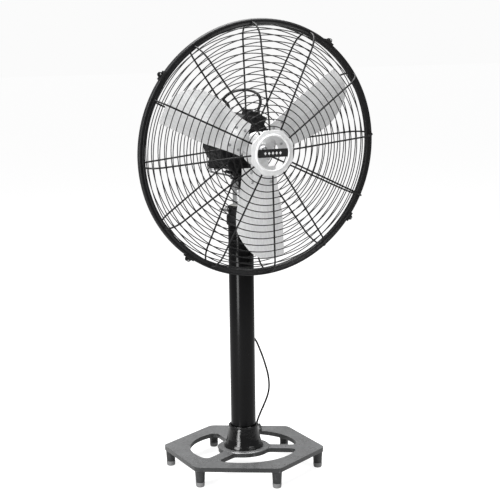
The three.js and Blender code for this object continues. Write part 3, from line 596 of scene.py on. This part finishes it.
def petal(middle):
    """One opening between two arms, the same shape as in the casting."""
    half = math.pi / 3
    outer = half - math.asin(ARM / RING_INNER)
    inner = half - math.asin(ARM / DISC_RADIUS)
    outer_side, inner_side = RING_INNER - OUTER_ROUND[0], DISC_RADIUS + INNER_ROUND[0]
    outer_end, inner_end = outer - OUTER_ROUND[1], inner - INNER_ROUND[1]

    def edge(radius, sign):
        return polar(radius, middle + sign * (half - math.asin(ARM / radius)))

    outside = arc((0, 0), RING_INNER, middle - outer_end, middle + outer_end, 40)
    inside = arc((0, 0), DISC_RADIUS, middle + inner_end, middle - inner_end, 16)
    points = list(outside)
    points += quadratic(outside[-1], polar(RING_INNER, middle + outer), edge(outer_side, 1))
    points += [edge(outer_side, 1), edge(inner_side, 1)]
    points += quadratic(edge(inner_side, 1), polar(DISC_RADIUS, middle + inner), inside[0])
    points += inside
    points += quadratic(inside[-1], polar(DISC_RADIUS, middle - inner), edge(inner_side, -1))
    points += [edge(inner_side, -1), edge(outer_side, -1)]
    points += quadratic(edge(outer_side, -1), polar(RING_INNER, middle - outer), outside[0])
    return points


base = slab("base_plate", hexagon(), PLATE_BOTTOM, PLATE_TOP, FLOOR, "base", HAMMERTONE,
            holes=[petal(math.radians(a)) for a in (30, 150, 270)], bevel=1.6)
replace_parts(base, "base_casting")
lathe("base_disc", [(20, 58), (75, 58.2), (71.5, 61), (20, 61)], FLOOR, "base", HAMMERTONE, closed=True,
      fillet=1.4)
for index in range(6):
    place = Matrix.Translation(Vector((*polar(LEG_CIRCLE, math.radians(30 + 60 * index)), 0)) * MM)
    lathe(f"leg_{index + 1}", [(0, 13.3), (12, 13.3), (13.6, 40), (14.4, 45), (17.5, 48), (0, 48)], place,
          "base", HAMMERTONE, segments=48, fillet=1.2)
    foot = lathe(f"rubber_foot_{index + 1}", [(0, 0), (9.5, 0), (11.5, 2), (12.6, 13), (0, 13)], place,
                 "base", RUBBER, segments=48, fillet=1.0)
    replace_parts(foot, f"foot_{index + 1}")

# ---------------------------------------------------------------- pole, cup and collar

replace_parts(lathe("pole_skin", [(32.2, 61.3), (35, 61.3), (35, 702), (32.2, 702)], FLOOR, "base",
                  BLACK_GLOSS, closed=True, segments=128, fillet=0.6), "pole")
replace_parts(lathe("cup_skin", [
    (49.5, 61.3), (56, 61.3), (56, 65), (51.6, 70), (47.8, 84), (44.2, 102), (41.8, 116), (41.2, 119),
    (42.2, 121.5), (42.2, 124.3), (36, 124.3), (36, 121), (39, 110), (44, 86), (49.5, 69)],
    FLOOR, "base", CUP_ENAMEL, closed=True, segments=128, fillet=1.5), "pole_cup")
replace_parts(lathe("collar_skin", [
    (24.6, 702.3), (35.3, 702.3), (35.3, 698), (39, 698), (39, 722), (36.5, 725), (34, 727), (33.4, 746),
    (32, 751), (24.6, 751)], FLOOR, "base", CAST_BLACK, closed=True, segments=96, fillet=1.5), "collar")
SCREW = shifted(0, 0, SCREW_HEIGHT) @ turned(-QUARTER, "Y")
lathe("clamp_boss", [(0, 31), (10, 31), (9.2, 37.5), (0, 37.5)], SCREW, "base", CAST_BLACK, segments=40)


def wing_outline(reach, height, waist):
    """A butterfly screw's two ears, seen along its axis from the side."""
    right = [
        (0, -waist), (reach * 0.35, -height * 0.6), (reach * 0.75, -height), (reach, -height * 0.55),
        (reach, height * 0.3), (reach * 0.7, height * 0.55), (reach * 0.35, height * 0.1),
        (0, height * 0.05),
    ]
    left = [(-x, y) for x, y in reversed(right[1:-1])]
    return rounded(right + left, 3, closed=True)


screw = lathe("height_screw_shank", [
    (0, 21.6), (3.8, 21.6), (3.8, 38.5), (6.6, 38.5), (6.6, 45), (5, 47), (0, 47)],
    SCREW, "height_clamp", STEEL, segments=40, fillet=0.6)
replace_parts(screw, "height_screw")
ears = [(x, y - 52) for x, y in wing_outline(12.5, 9, 8)]
slab("height_screw_wing", ears, -1.7, 1.7, shifted(0, 0, SCREW_HEIGHT) @ turned(-QUARTER, "Z"),
     "height_clamp", STEEL, bevel=0.8)

# ---------------------------------------------------------------- sliding tube, clevis and tilt clamp

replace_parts(lathe("slide_tube", [(18.7, 425), (21, 425), (21, 787), (18.7, 787)], FLOOR, "mast", TUBE,
                  closed=True, segments=96, fillet=0.5), "height_tube")
clevis = lathe("clevis_seat", [
    (0, 772), (18.4, 772), (18.4, 787.3), (21, 787.3), (21, 795), (19.5, 796.5), (0, 796.5)],
    FLOOR, "mast", TUBE, fillet=0.8)
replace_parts(clevis, "tube_clevis")
EARS = TILT_BOLT @ turned(QUARTER, "Z") @ turned(QUARTER, "X")
ear = arc((0, 0), 13, 0, math.pi, 24) + [(-13, -17), (13, -17)]
for side in (-1, 1):
    slab(f"clevis_ear_{'right' if side > 0 else 'left'}", ear, side * 16 - 4.8, side * 16 + 4.8, EARS,
         "mast", TUBE, holes=[circle(4.6)], bevel=1.0)
ALONG_X = TILT_BOLT @ turned(QUARTER, "Y")
bolt = lathe("tilt_bolt_shank", [(0, -22), (4.2, -22), (4.2, 34), (0, 34)], ALONG_X, "mast", STEEL,
             segments=32, fillet=0.5)
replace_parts(bolt, "tilt_bolt")
lathe("tilt_bolt_head", [(0, -26), (6.4, -26), (7.2, -24.8), (7.2, -21.4), (0, -21.4)], ALONG_X, "mast",
      STEEL, segments=6, fillet=0, sharp=20)
nut = lathe("tilt_nut_hub", [(4.6, 21.4), (8.4, 21.4), (7.4, 31), (4.6, 31)], ALONG_X, "tilt_clamp",
            STEEL, closed=True, segments=40, fillet=0.8)
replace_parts(nut, "tilt_wing_nut")
lobe = rounded([(-6.5, 5), (6.5, 5), (6, 16), (2, 18), (-3, 17), (-6.5, 12)], 4, closed=True)
for side in (-1, 1):
    slab(f"tilt_nut_wing_{'front' if side < 0 else 'rear'}", [(0.45 * x, y) for x, y in lobe], -1.7, 1.7,
         TILT_BOLT @ shifted(0.0278, 0, 0) @ turned(0 if side > 0 else math.pi, "X"),
         "tilt_clamp", STEEL, bevel=0.8)

# ---------------------------------------------------------------- neck

NECK_TOP = -88.3
LINK_ANCHOR = (-26, -10)
CRANK_PIN = (-50.9, 86.6)
PIVOT = HEAD @ shifted(0, 0, -AXIS_RISE) @ turned(QUARTER, "Z") @ turned(QUARTER, "X")
tongue = arc((0, 0), 13, math.pi, 2 * math.pi, 24) + [(13, 15), (-13, 15)]
neck = slab("neck_tongue", tongue, -10.6, 10.6, PIVOT, "neck", CAST_BLACK, holes=[circle(4.6)], bevel=1.2)
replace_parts(neck, "neck_block")
lathe("neck_post", [(6.3, -103), (12, -103), (12.5, -97), (15, -95), (15, NECK_TOP), (6.3, NECK_TOP)],
      HEAD, "neck", CAST_BLACK, closed=True, fillet=1.2)
lug = stadium((0, -10), LINK_ANCHOR, 9, 8)
slab("neck_lug", lug, -95.2, -91, HEAD, "neck", CAST_BLACK, holes=[circle(6.3)], bevel=0.9)
lathe("link_pin", [(0, -92), (3.2, -92), (3.2, -86), (0, -86)],
      HEAD @ shifted(LINK_ANCHOR[0] * MM, LINK_ANCHOR[1] * MM, 0), "neck", STEEL, segments=32, fillet=0.4)

# ---------------------------------------------------------------- motor

saddle = slab("cradle_foot", rectangle(62, 92, 8), -84, -80.6, HEAD, "head", CAST_BLACK,
              holes=[circle(6.3)], bevel=1.0)
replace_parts(saddle, "motor_cradle")
lathe("cradle_boss", [(6.3, -88), (15, -88), (16, -83.5), (6.3, -83.5)], HEAD, "head", CAST_BLACK,
      closed=True)
cheek = [(-31, -82)] + [polar(80.3, math.radians(a)) for a in range(247, 294, 2)] + [(31, -82)]
cheeks = [slab_parts(cheek, ahead - 6, ahead + 6) for ahead in (40, -6)]
add_bevel(joined("cradle_cheeks", cheeks, AXIS @ shifted(0, 0, -0.017), "head", CAST_BLACK), 0.8)

spin("housing_shell", [(76, 18), (80, 18), (80, 14), (79, 12), (79, -40), (80, -42), (80, -46), (76, -46)],
     "head", CAST_BLACK, "motor_housing", fillet=0.8)
rib_parts = []
section = rectangle(5, 2.2, 0.7, (79.4, 0))
for step in range(40):
    angle = math.radians(step * 9)
    c, s = math.cos(angle), math.sin(angle)
    at_cradle, at_box = s < -0.86, s > 0.72 and c > -0.2
    if not at_cradle and not at_box:
        rib_parts.append(slab_parts([(c * x - s * y, s * x + c * y) for x, y in section], -39, 11))
add_bevel(joined("housing_ribs", rib_parts, AXIS, "head", CAST_BLACK), 0.5, 2)
spin("front_cap_shell", [
    (10.5, 41.5), (24, 41.5), (26, 38), (34, 37.2), (38, 39), (44, 38.2), (50, 35.6), (72, 33), (79, 27),
    (80, 24), (80, 18.3), (76, 18.3), (75, 23), (68, 28), (17.3, 33), (17.3, 39), (10.5, 39)],
    "head", CAST_BLACK, "motor_front_cap")
spin("rear_cap_shell", [
    (76, -46.3), (80, -46.3), (80, -49), (79.2, -50.5), (79.2, -74), (78, -80), (74, -86), (66, -88),
    (56, -89), (17.3, -89), (17.3, -58), (24, -58), (24, -76), (66, -76), (76, -68)],
    "head", CAST_BLACK, "motor_rear_cap", fillet=2)
spin("gear_cover_shell", [
    (0, -109.5), (20, -109.5), (24, -108), (44, -107.5), (53, -105), (56, -100), (56, -89.3), (52, -89.3),
    (52, -98), (46, -104), (0, -105.5)], "head", CAST_BLACK, "gear_cover", closed=False, fillet=2)
cap_screws = []
for step in range(4):
    angle = math.radians(45 + 90 * step)
    for radius, near, far, head in ((73.5, 26, 31.5, 3.6), (48, -109.4, -104, 3.2)):
        screw_part = lathe_parts([(0, near), (head, near), (head, far), (0, far)], False, 20, 0.8)
        cap_screws.append(offset_part(screw_part, *polar(radius, angle)))
joined("cap_screws", cap_screws, AXIS, "head", STEEL)

GEARBOX = HEAD @ shifted(-0.034, 0.088, 0)
gear = lathe("gear_turret", [
    (5.6, -76), (20, -76), (22, -74), (22, -60), (19, -52), (14, -46), (5.6, -44.4)],
    GEARBOX, "head", CAST_BLACK, closed=True, fillet=1.5)
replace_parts(gear, "gear_housing")
crank = lathe("crank_disc", [
    (0, -81), (20, -81), (21, -80), (21, -77.6), (20, -76.6), (5, -76.6), (5, -74), (0, -74)],
    GEARBOX, "drive_crank", STEEL, fillet=0.5)
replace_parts(crank, "crank")
lathe("crank_pin", [(0, -91), (3.2, -91), (3.2, -80), (0, -80)],
      HEAD @ shifted(CRANK_PIN[0] * MM, CRANK_PIN[1] * MM, 0), "drive_crank", STEEL, segments=32,
      fillet=0.4)
link = slab("link_bar", stadium(LINK_ANCHOR, CRANK_PIN, 9.6, 7.5, 32, 3.5), -90.0, -86.6, HEAD,
            "drive_link", STEEL, holes=[circle(6.6, LINK_ANCHOR), circle(3.7, CRANK_PIN)], bevel=0.5)
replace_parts(link, "link_rod")

BUTTON = HEAD @ shifted(0, 0.0996, 0)
button = lathe("oscillation_button", [
    (0, 56.6), (3, 56.6), (3, 68), (8.6, 69), (10, 71), (9.4, 76), (10, 80), (8.4, 84), (0, 84)],
    BUTTON, "oscillation_button", PLASTIC, segments=48, fillet=1)
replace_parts(button, "oscillation_knob")
spin("speed_dial", [(0, -110), (19, -110), (20, -113.5), (17.4, -126), (0, -126)], "speed_dial", PLASTIC,
     "speed_knob", closed=False, segments=64, fillet=1.4)
slab("speed_dial_grip", rectangle(7, 33, 3), -126.5, -122, AXIS, "speed_dial", PLASTIC, bevel=1)

BOX_ANGLE = math.radians(25)
BOX = HEAD @ turned(BOX_ANGLE, "Y") @ shifted(0, -0.011, 0)
box_body = slab("terminal_box_body", rectangle(59, 45, 5), 66, 87.5, BOX, "head", CAST_BLACK, bevel=1)
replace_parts(box_body, "terminal_box")
slab("terminal_box_lid", rectangle(60, 46, 5.5), 87.8, 92, BOX, "head", BLACK_SATIN, bevel=1.4)
lid_screws = []
for x, y in ((-25, -18), (25, -18), (-25, 18), (25, 18)):
    screw_part = lathe_parts([(0, 91), (2.8, 91), (2.8, 92.6), (1.8, 93.4), (0, 93.4)], False, 20, 0.4)
    lid_screws.append(offset_part(screw_part, x, y))
joined("lid_screws", lid_screws, BOX, "head", STEEL)
LEAD = [
    (39.8, -20, 85.4), (44, -20, 96), (50, -19, 112), (48, -14, 130), (38, 0, 141), (18, 18, 145),
    (-4, 38, 139), (-18, 54, 127), (-23, 64, 115), (-10, 74, 105), (-3, 75, 96), (-2, 73, 84.6),
]
lead = joined("motor_lead_tube", [sweep_parts(smooth_line(LEAD, 6), 4, 16)], HEAD, "head", CORD, 50)
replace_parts(lead, "motor_lead")
lathe("lead_gland", [(4.1, 92), (8.5, 92), (8.5, 96), (7, 97), (6, 101), (4.1, 101)],
      BOX @ shifted(0, -0.009, 0), "head", PLASTIC, closed=True, segments=40, fillet=0.6)
lathe("lead_grommet", [(4.1, 79.4), (8, 79.4), (7.4, 84), (5.6, 87), (4.1, 87)],
      HEAD @ shifted(-0.002, 0.073, 0), "head", PLASTIC, closed=True, segments=40, fillet=0.6)

# ---------------------------------------------------------------- blades and hub

BLADE_PLANE = 120
ROOT, TIP = 48, 303
ROOT_PITCH, TIP_PITCH = math.radians(12), math.radians(8)
TIP_CUT = 69  # how far the tip falls back towards the leading edge
TRAILING_ROOT, TRAILING_GAIN = 41, 13
LEADING_ROOT, LEADING_GAIN = 52, 24
WIDENING_REACH = 155
BOW = 9
SKIN = 0.85  # half the blade's thickness


def ease(value):
    value = min(max(value, 0), 1)
    return value * value * (3 - 2 * value)


def blade_point(u, v):
    """A point on the blade's middle surface, from its leading (0) to its trailing (1) edge, root to tip."""
    tip = TIP - TIP_CUT * (1 - u) ** 4
    along = ROOT + (tip - ROOT) * v
    widening = ease((along - ROOT) / WIDENING_REACH)
    trailing = TRAILING_ROOT + TRAILING_GAIN * widening
    leading = (LEADING_ROOT + LEADING_GAIN * widening) * (1 - 0.05 * ease((v - 0.9) / 0.1) * (1 - u))
    t = -leading + (trailing + leading) * u
    rho = along - ease((along - 110) / 150) * t * t / (2 * TIP)
    pitch = ROOT_PITCH + (TIP_PITCH - ROOT_PITCH) * max(0, (rho - 104) / (TIP - 104))
    bow = BOW * math.sin(math.pi * u) * ease((rho - 104) / 80)
    dome = 9 * math.exp(-((rho - 70) / 26) ** 2 - (t / 24) ** 2)
    rib = 2.2 * math.exp(-(t / 15) ** 2) * ease((rho - 90) / 30) * ease((250 - rho) / 60)
    ahead = t * math.sin(pitch) + bow + dome + rib
    return Vector((rho, t * math.cos(pitch), BLADE_PLANE + ahead))


def blade_mesh(name):
    across_count, out_count = 28, 48
    grid = [[blade_point(i / across_count, j / out_count) for j in range(out_count + 1)]
            for i in range(across_count + 1)]
    vertices, faces = [], []
    for side in (SKIN, -SKIN):
        for i in range(across_count + 1):
            for j in range(out_count + 1):
                di = grid[min(i + 1, across_count)][j] - grid[max(i - 1, 0)][j]
                dj = grid[i][min(j + 1, out_count)] - grid[i][max(j - 1, 0)]
                normal = dj.cross(di).normalized()
                normal = normal if normal.z > 0 else -normal
                vertices.append(grid[i][j] + normal * side)
    row = out_count + 1
    skin = (across_count + 1) * row
    for i in range(across_count):
        for j in range(out_count):
            a, b, c, d = i * row + j, (i + 1) * row + j, (i + 1) * row + j + 1, i * row + j + 1
            faces.append((a, b, c, d))
            faces.append((d + skin, c + skin, b + skin, a + skin))
    border = [i * row for i in range(across_count)] + [across_count * row + j for j in range(out_count)]
    border += [i * row + out_count for i in range(across_count, 0, -1)] + list(range(out_count, 0, -1))
    for a, b in zip(border, border[1:] + border[:1]):
        faces.append((a, b, b + skin, a + skin))
    return clean_mesh(name, vertices, faces, 40)


BLADE_ANGLES = [math.radians(a) for a in (34, 154, 274)]
ROOT_WIDTH = LEADING_ROOT + TRAILING_ROOT
rivets = []
for number, angle in enumerate(BLADE_ANGLES):
    place = AXIS @ turned(angle, "Z")
    paddle = add_object(f"paddle_{number + 1}", blade_mesh(f"paddle_{number + 1}"), place,
                        "rotor_group", BLADE)
    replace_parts(paddle, f"blade_{number + 1}")
    holder = rounded([(30, -25), (92, -20), (96, -14), (96, 14), (92, 20), (30, 25)], 9, closed=True)
    tilted = place @ shifted(0, 0, (BLADE_PLANE - 5) * MM) @ turned(ROOT_PITCH, "X")
    slab(f"blade_holder_{number + 1}", holder, -2.8, 2.8, tilted, "rotor_group", CAST_ALLOY, bevel=1.2)
    for x, y in ((62, -27), (62, 27), (90, -24), (90, 24)):
        here = blade_point((LEADING_ROOT + y) / ROOT_WIDTH, (x - ROOT) / (TIP - ROOT))
        vertices, faces = lathe_parts([(0, 0), (4.5, 0), (4.2, 1.4), (2.4, 2.6), (0, 3)], False, 20, 0)
        seat = turned(angle, "Z") @ Matrix.Translation(here) @ turned(ROOT_PITCH, "X")
        rivets.append(([seat @ Vector(v) for v in vertices], faces))
joined("blade_rivets", rivets, AXIS, "rotor_group", STEEL, 40)
spin("hub_shell", [
    (7.3, 92), (22, 92), (26, 98), (43, 101.5), (46, 105), (46, 114), (41, 119), (30, 124), (20, 128.5),
    (18, 133.5), (7.3, 133.5)], "rotor_group", CAST_ALLOY, "blade_hub", fillet=2.5)
spin("spinner_nut", [
    (0, 151), (5, 150.6), (9.5, 148), (12.5, 143), (12.5, 134), (7.4, 134), (7.4, 140.4), (0, 140.4)],
    "rotor_group", STEEL, "hub_nut", closed=False, segments=48)
spin("shaft_rod", [(0, -79.5), (6.6, -79.5), (7, -79), (7, 139.5), (6.6, 140), (0, 140)],
     "rotor_group", STEEL, "shaft", closed=False, segments=48, fillet=0.3)

# ---------------------------------------------------------------- guards

RIM_PLANE = 116
SEAT_RADIUS = 336
SHOULDER = 290
SHOULDER_DEPTH = 54.3
SEAT_DEPTH = 10.5
SPOKE_WIRE = 2.4
RING_WIRE = 1.35
DISH_RINGS = 13


def section_at(radius, hub_radius, hub_depth):
    """Depth of the guard's dish, from the rim's plane, at a radius inside the shoulder."""
    return SHOULDER_DEPTH + (hub_depth - SHOULDER_DEPTH) * (SHOULDER - radius) / (SHOULDER - hub_radius)


def shoulder_at(angle):
    """Radius and depth on the guard's rounded shoulder."""
    return (SHOULDER + (SEAT_RADIUS - SHOULDER) * math.sin(angle),
            SEAT_DEPTH + (SHOULDER_DEPTH - SEAT_DEPTH) * math.cos(angle))


def wire_guard(name, hub_radius, hub_depth, direction, node):
    """Twelve spokes over sixteen rings, with a heavier ring at the hub."""
    spokes, rings = [], []
    reach = SHOULDER - 14 - hub_radius
    dish = [hub_radius + reach * i / 6 for i in range(7)]
    line = [(r, section_at(r, hub_radius, hub_depth)) for r in dish]
    line += [shoulder_at(math.radians(a)) for a in range(6, 91, 7)]
    line.append((SEAT_RADIUS, SEAT_DEPTH))
    for index in range(12):
        angle = math.radians(5 + 30 * index)
        path = [(r * math.cos(angle), r * math.sin(angle), RIM_PLANE + direction * d) for r, d in line]
        spokes.append(sweep_parts(path, SPOKE_WIRE, 10))

    def add_ring(radius, depth, wire):
        path = [(x, y, RIM_PLANE + direction * depth) for x, y in circle(radius, count=120)]
        rings.append(sweep_parts(path, wire, 8, closed=True))

    add_ring(hub_radius + 1.5, hub_depth - 3.6, SPOKE_WIRE)
    inset = SPOKE_WIRE + RING_WIRE - 0.15
    first = hub_radius + 17
    for index in range(DISH_RINGS):
        radius = first + (SHOULDER - 2 - first) * index / (DISH_RINGS - 1)
        add_ring(radius, section_at(radius, hub_radius, hub_depth) - inset, RING_WIRE)
    for angle in (math.radians(20), math.radians(43), math.radians(66)):
        radius, depth = shoulder_at(angle)
        add_ring(radius - inset * math.sin(angle), depth - inset * math.cos(angle), RING_WIRE)
    obj = joined(f"{name}_rings", rings, AXIS, "head", WIRE, 50)
    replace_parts(obj, node)
    joined(f"{name}_spokes", spokes, AXIS, "head", WIRE, 50)


wire_guard("front", 52, 74.2, 1, "front_guard")
wire_guard("rear", 44, 70, -1, "rear_guard")
BEAD = [
    (327.2, 2.2), (328.2, 0.7), (330, 0.2), (342, 0.2), (344, 0.8), (344.9, 2.4), (344.9, 5.4),
    (343.4, 7.4), (341, 8.1), (338.2, 7.6), (336.6, 6.6), (335.4, 6.6), (333.8, 7.6), (331, 8.1),
    (328.6, 7.4), (327.2, 5.4),
]
for name, direction in (("front", 1), ("rear", -1)):
    spin(f"{name}_rim_bead", [(r, RIM_PLANE + direction * d) for r, d in BEAD], "head", RIM, f"{name}_rim",
         segments=200, fillet=0.8, sharp=60)
spin("guard_centre", [
    (10.5, 42), (38, 42), (41.3, 43), (41.3, 46), (30, 46), (27, 44.8), (14, 44.8), (10.5, 46)],
    "head", CAST_BLACK, "guard_plate", fillet=0.8)

STRAP = [
    (339.8, -10.6), (345.4, -10.6), (347.6, -9.4), (347.6, 9.4), (345.4, 10.6), (339.8, 10.6), (339.8, 8.8),
    (344.6, 8.8), (345.8, 8), (345.8, -8), (344.6, -8.8), (339.8, -8.8),
]
TAB = [(346.5, -7), (351, -7), (356, -3.5), (356, 3.5), (351, 7), (346.5, 7)]
for number in range(4):
    angle = math.radians(54 + 90 * number)
    place = AXIS @ turned(angle, "Z") @ shifted(0, 0, RIM_PLANE * MM) @ turned(QUARTER, "X")
    clip = slab(f"clip_strap_{number + 1}", rounded(STRAP, 0.8, closed=True, steps=2), -13, 13, place,
                "head", WIRE, bevel=0.4)
    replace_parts(clip, f"rim_clamp_{number + 1}")
    lug_parts = []
    for offset in (-4, 4):
        vertices, faces = slab_parts(rounded(TAB, 2, closed=True), offset - 1.2, offset + 1.2)
        lug_parts.append(([(x, z, y) for x, y, z in vertices], faces))
    joined(f"clip_lugs_{number + 1}", lug_parts, place, "head", WIRE)
    lathe(f"clip_bolt_{number + 1}", [
        (0, -8), (2.2, -8), (2.2, 5.3), (3.6, 5.3), (3.6, 7.6), (2.4, 8.6), (0, 8.8)],
        place @ shifted(0.352, 0, 0) @ turned(QUARTER, "X"), "head", STEEL, segments=28, fillet=0.4)

# ---------------------------------------------------------------- badge

BADGE_BACK = RIM_PLANE + 76.3


def octagon(apothem, radius):
    """A regular octagon with rounded corners."""
    points = []
    centre = apothem / math.cos(math.pi / 8) - radius / math.cos(math.pi / 8)
    for corner in range(8):
        angle = math.pi / 4 * (corner + 0.5)
        points += arc(polar(centre, angle), radius, angle - math.pi / 8, angle + math.pi / 8, 6)
    return points


badge = slab("badge_frame", octagon(59.5, 14), BADGE_BACK, BADGE_BACK + 6, AXIS, "head", BADGE,
             holes=[circle(46, count=72)], bevel=1.2)
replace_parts(badge, "badge_ring")
bead = [(45, 1), (45, 8.6), (46.4, 10), (48.6, 10), (50.6, 8), (51, 5.4), (48, 4)]
spin("badge_bead", [(r, BADGE_BACK + d) for r, d in bead], "head", BADGE, fillet=0.6)
BAR_LENGTH, BAR_WIDTH = 44.6, 11  # half of each
spread = math.asin(BAR_WIDTH / BAR_LENGTH)
bar = [p for end in (0, math.pi) for p in arc((0, 0), BAR_LENGTH, end - spread, end + spread, 8)]
bar_piece = slab("badge_crossbar", bar, BADGE_BACK + 3.5, BADGE_BACK + 6.5, AXIS, "head", BAR_BLACK,
                 bevel=0.5)
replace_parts(bar_piece, "badge_bar")
stud_parts = []
for x in (-22, -11, 0, 11, 22):
    diamond = [(x - 3.6, 0), (x, -4.4), (x + 3.6, 0), (x, 4.4)]
    stud_parts.append(slab_parts(diamond, BADGE_BACK + 6.2, BADGE_BACK + 7.0))
joined("badge_studs", stud_parts, AXIS, "head", BADGE)

# ---------------------------------------------------------------- finishes on the frame's own nodes

CARRIED = {
    "pole_flange": STEEL, "base_bolt_1": STEEL, "base_bolt_2": STEEL, "base_bolt_3": STEEL,
    "collar_bush": NYLON, "tube_glide": NYLON, "swivel_pin": STEEL, "stator": IRON,
    "front_bearing": STEEL, "rear_bearing": STEEL, "rotor": IRON,
}
for node_name, material in CARRIED.items():
    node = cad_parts[node_name]
    node.data.materials.clear()
    node.data.materials.append(material)

# ---------------------------------------------------------------- floor and light

FLOOR_REACH = 30


def lit_by_ray(tree, unseen, seen, socket):
    """Sets a strength to one value for what the camera sees and another for the light it throws."""
    ray = tree.nodes.new("ShaderNodeLightPath")
    choice = tree.nodes.new("ShaderNodeMapRange")
    choice.inputs["To Min"].default_value = unseen
    choice.inputs["To Max"].default_value = seen
    tree.links.new(ray.outputs["Is Camera Ray"], choice.inputs["Value"])
    tree.links.new(choice.outputs["Result"], socket)


floor_mesh = bpy.data.meshes.new("floor")
floor_corners = [(x * FLOOR_REACH, y * FLOOR_REACH, 0) for x, y in ((-1, -1), (1, -1), (1, 1), (-1, 1))]
floor_mesh.from_pydata(floor_corners, [], [(0, 1, 2, 3)])
floor = bpy.data.objects.new("floor", floor_mesh)
bpy.context.collection.objects.link(floor)
pale = bpy.data.materials.new("pale_floor")
pale.use_nodes = True
pale_shader = pale.node_tree.nodes["Principled BSDF"]
pale_shader.inputs["Base Color"].default_value = (0.3, 0.3, 0.3, 1)
pale_shader.inputs["Roughness"].default_value = 0.7
pale_shader.inputs["Emission Color"].default_value = (1, 1, 1, 1)
lit_by_ray(pale.node_tree, 0.1, 0.9, pale_shader.inputs["Emission Strength"])
floor_mesh.materials.append(pale)

world = bpy.data.worlds.new("studio")
bpy.context.scene.world = world
world.use_nodes = True
background = world.node_tree.nodes["Background"]
background.inputs["Color"].default_value = (1, 1, 1, 1)
lit_by_ray(world.node_tree, 0.2, 0.965, background.inputs["Strength"])


def area_light(name, place, aim, width, height, power):
    data = bpy.data.lights.new(name, "AREA")
    data.shape = "RECTANGLE"
    data.size, data.size_y = width, height
    data.energy = power
    light = bpy.data.objects.new(name, data)
    bpy.context.collection.objects.link(light)
    light.location = place
    light.rotation_euler = (Vector(aim) - Vector(place)).to_track_quat("-Z", "Y").to_euler()


def seen_from(side, back, height):
    """A place for a light, in metres across, behind and above the pole as the camera sees it."""
    point = across * side + beyond * back
    return (point.x, point.y, height)


area_light("key", seen_from(-2.0, -1.6, 2.9), (0, 0, 0.7), 1.2, 1.8, 56)
area_light("fill", seen_from(2.2, -1.8, 2.2), (0, 0, 0.8), 1.4, 1.8, 30)
area_light("top", seen_from(0, 0.5, 3.2), (0, 0, 0), 2.4, 2.4, 190)
area_light("strip", seen_from(-1.35, -2.0, 0.8), (0, 0, 0.6), 0.7, 1.7, 40)

bpy.context.scene.view_settings.view_transform = "Standard"
bpy.context.scene.view_settings.look = "None"
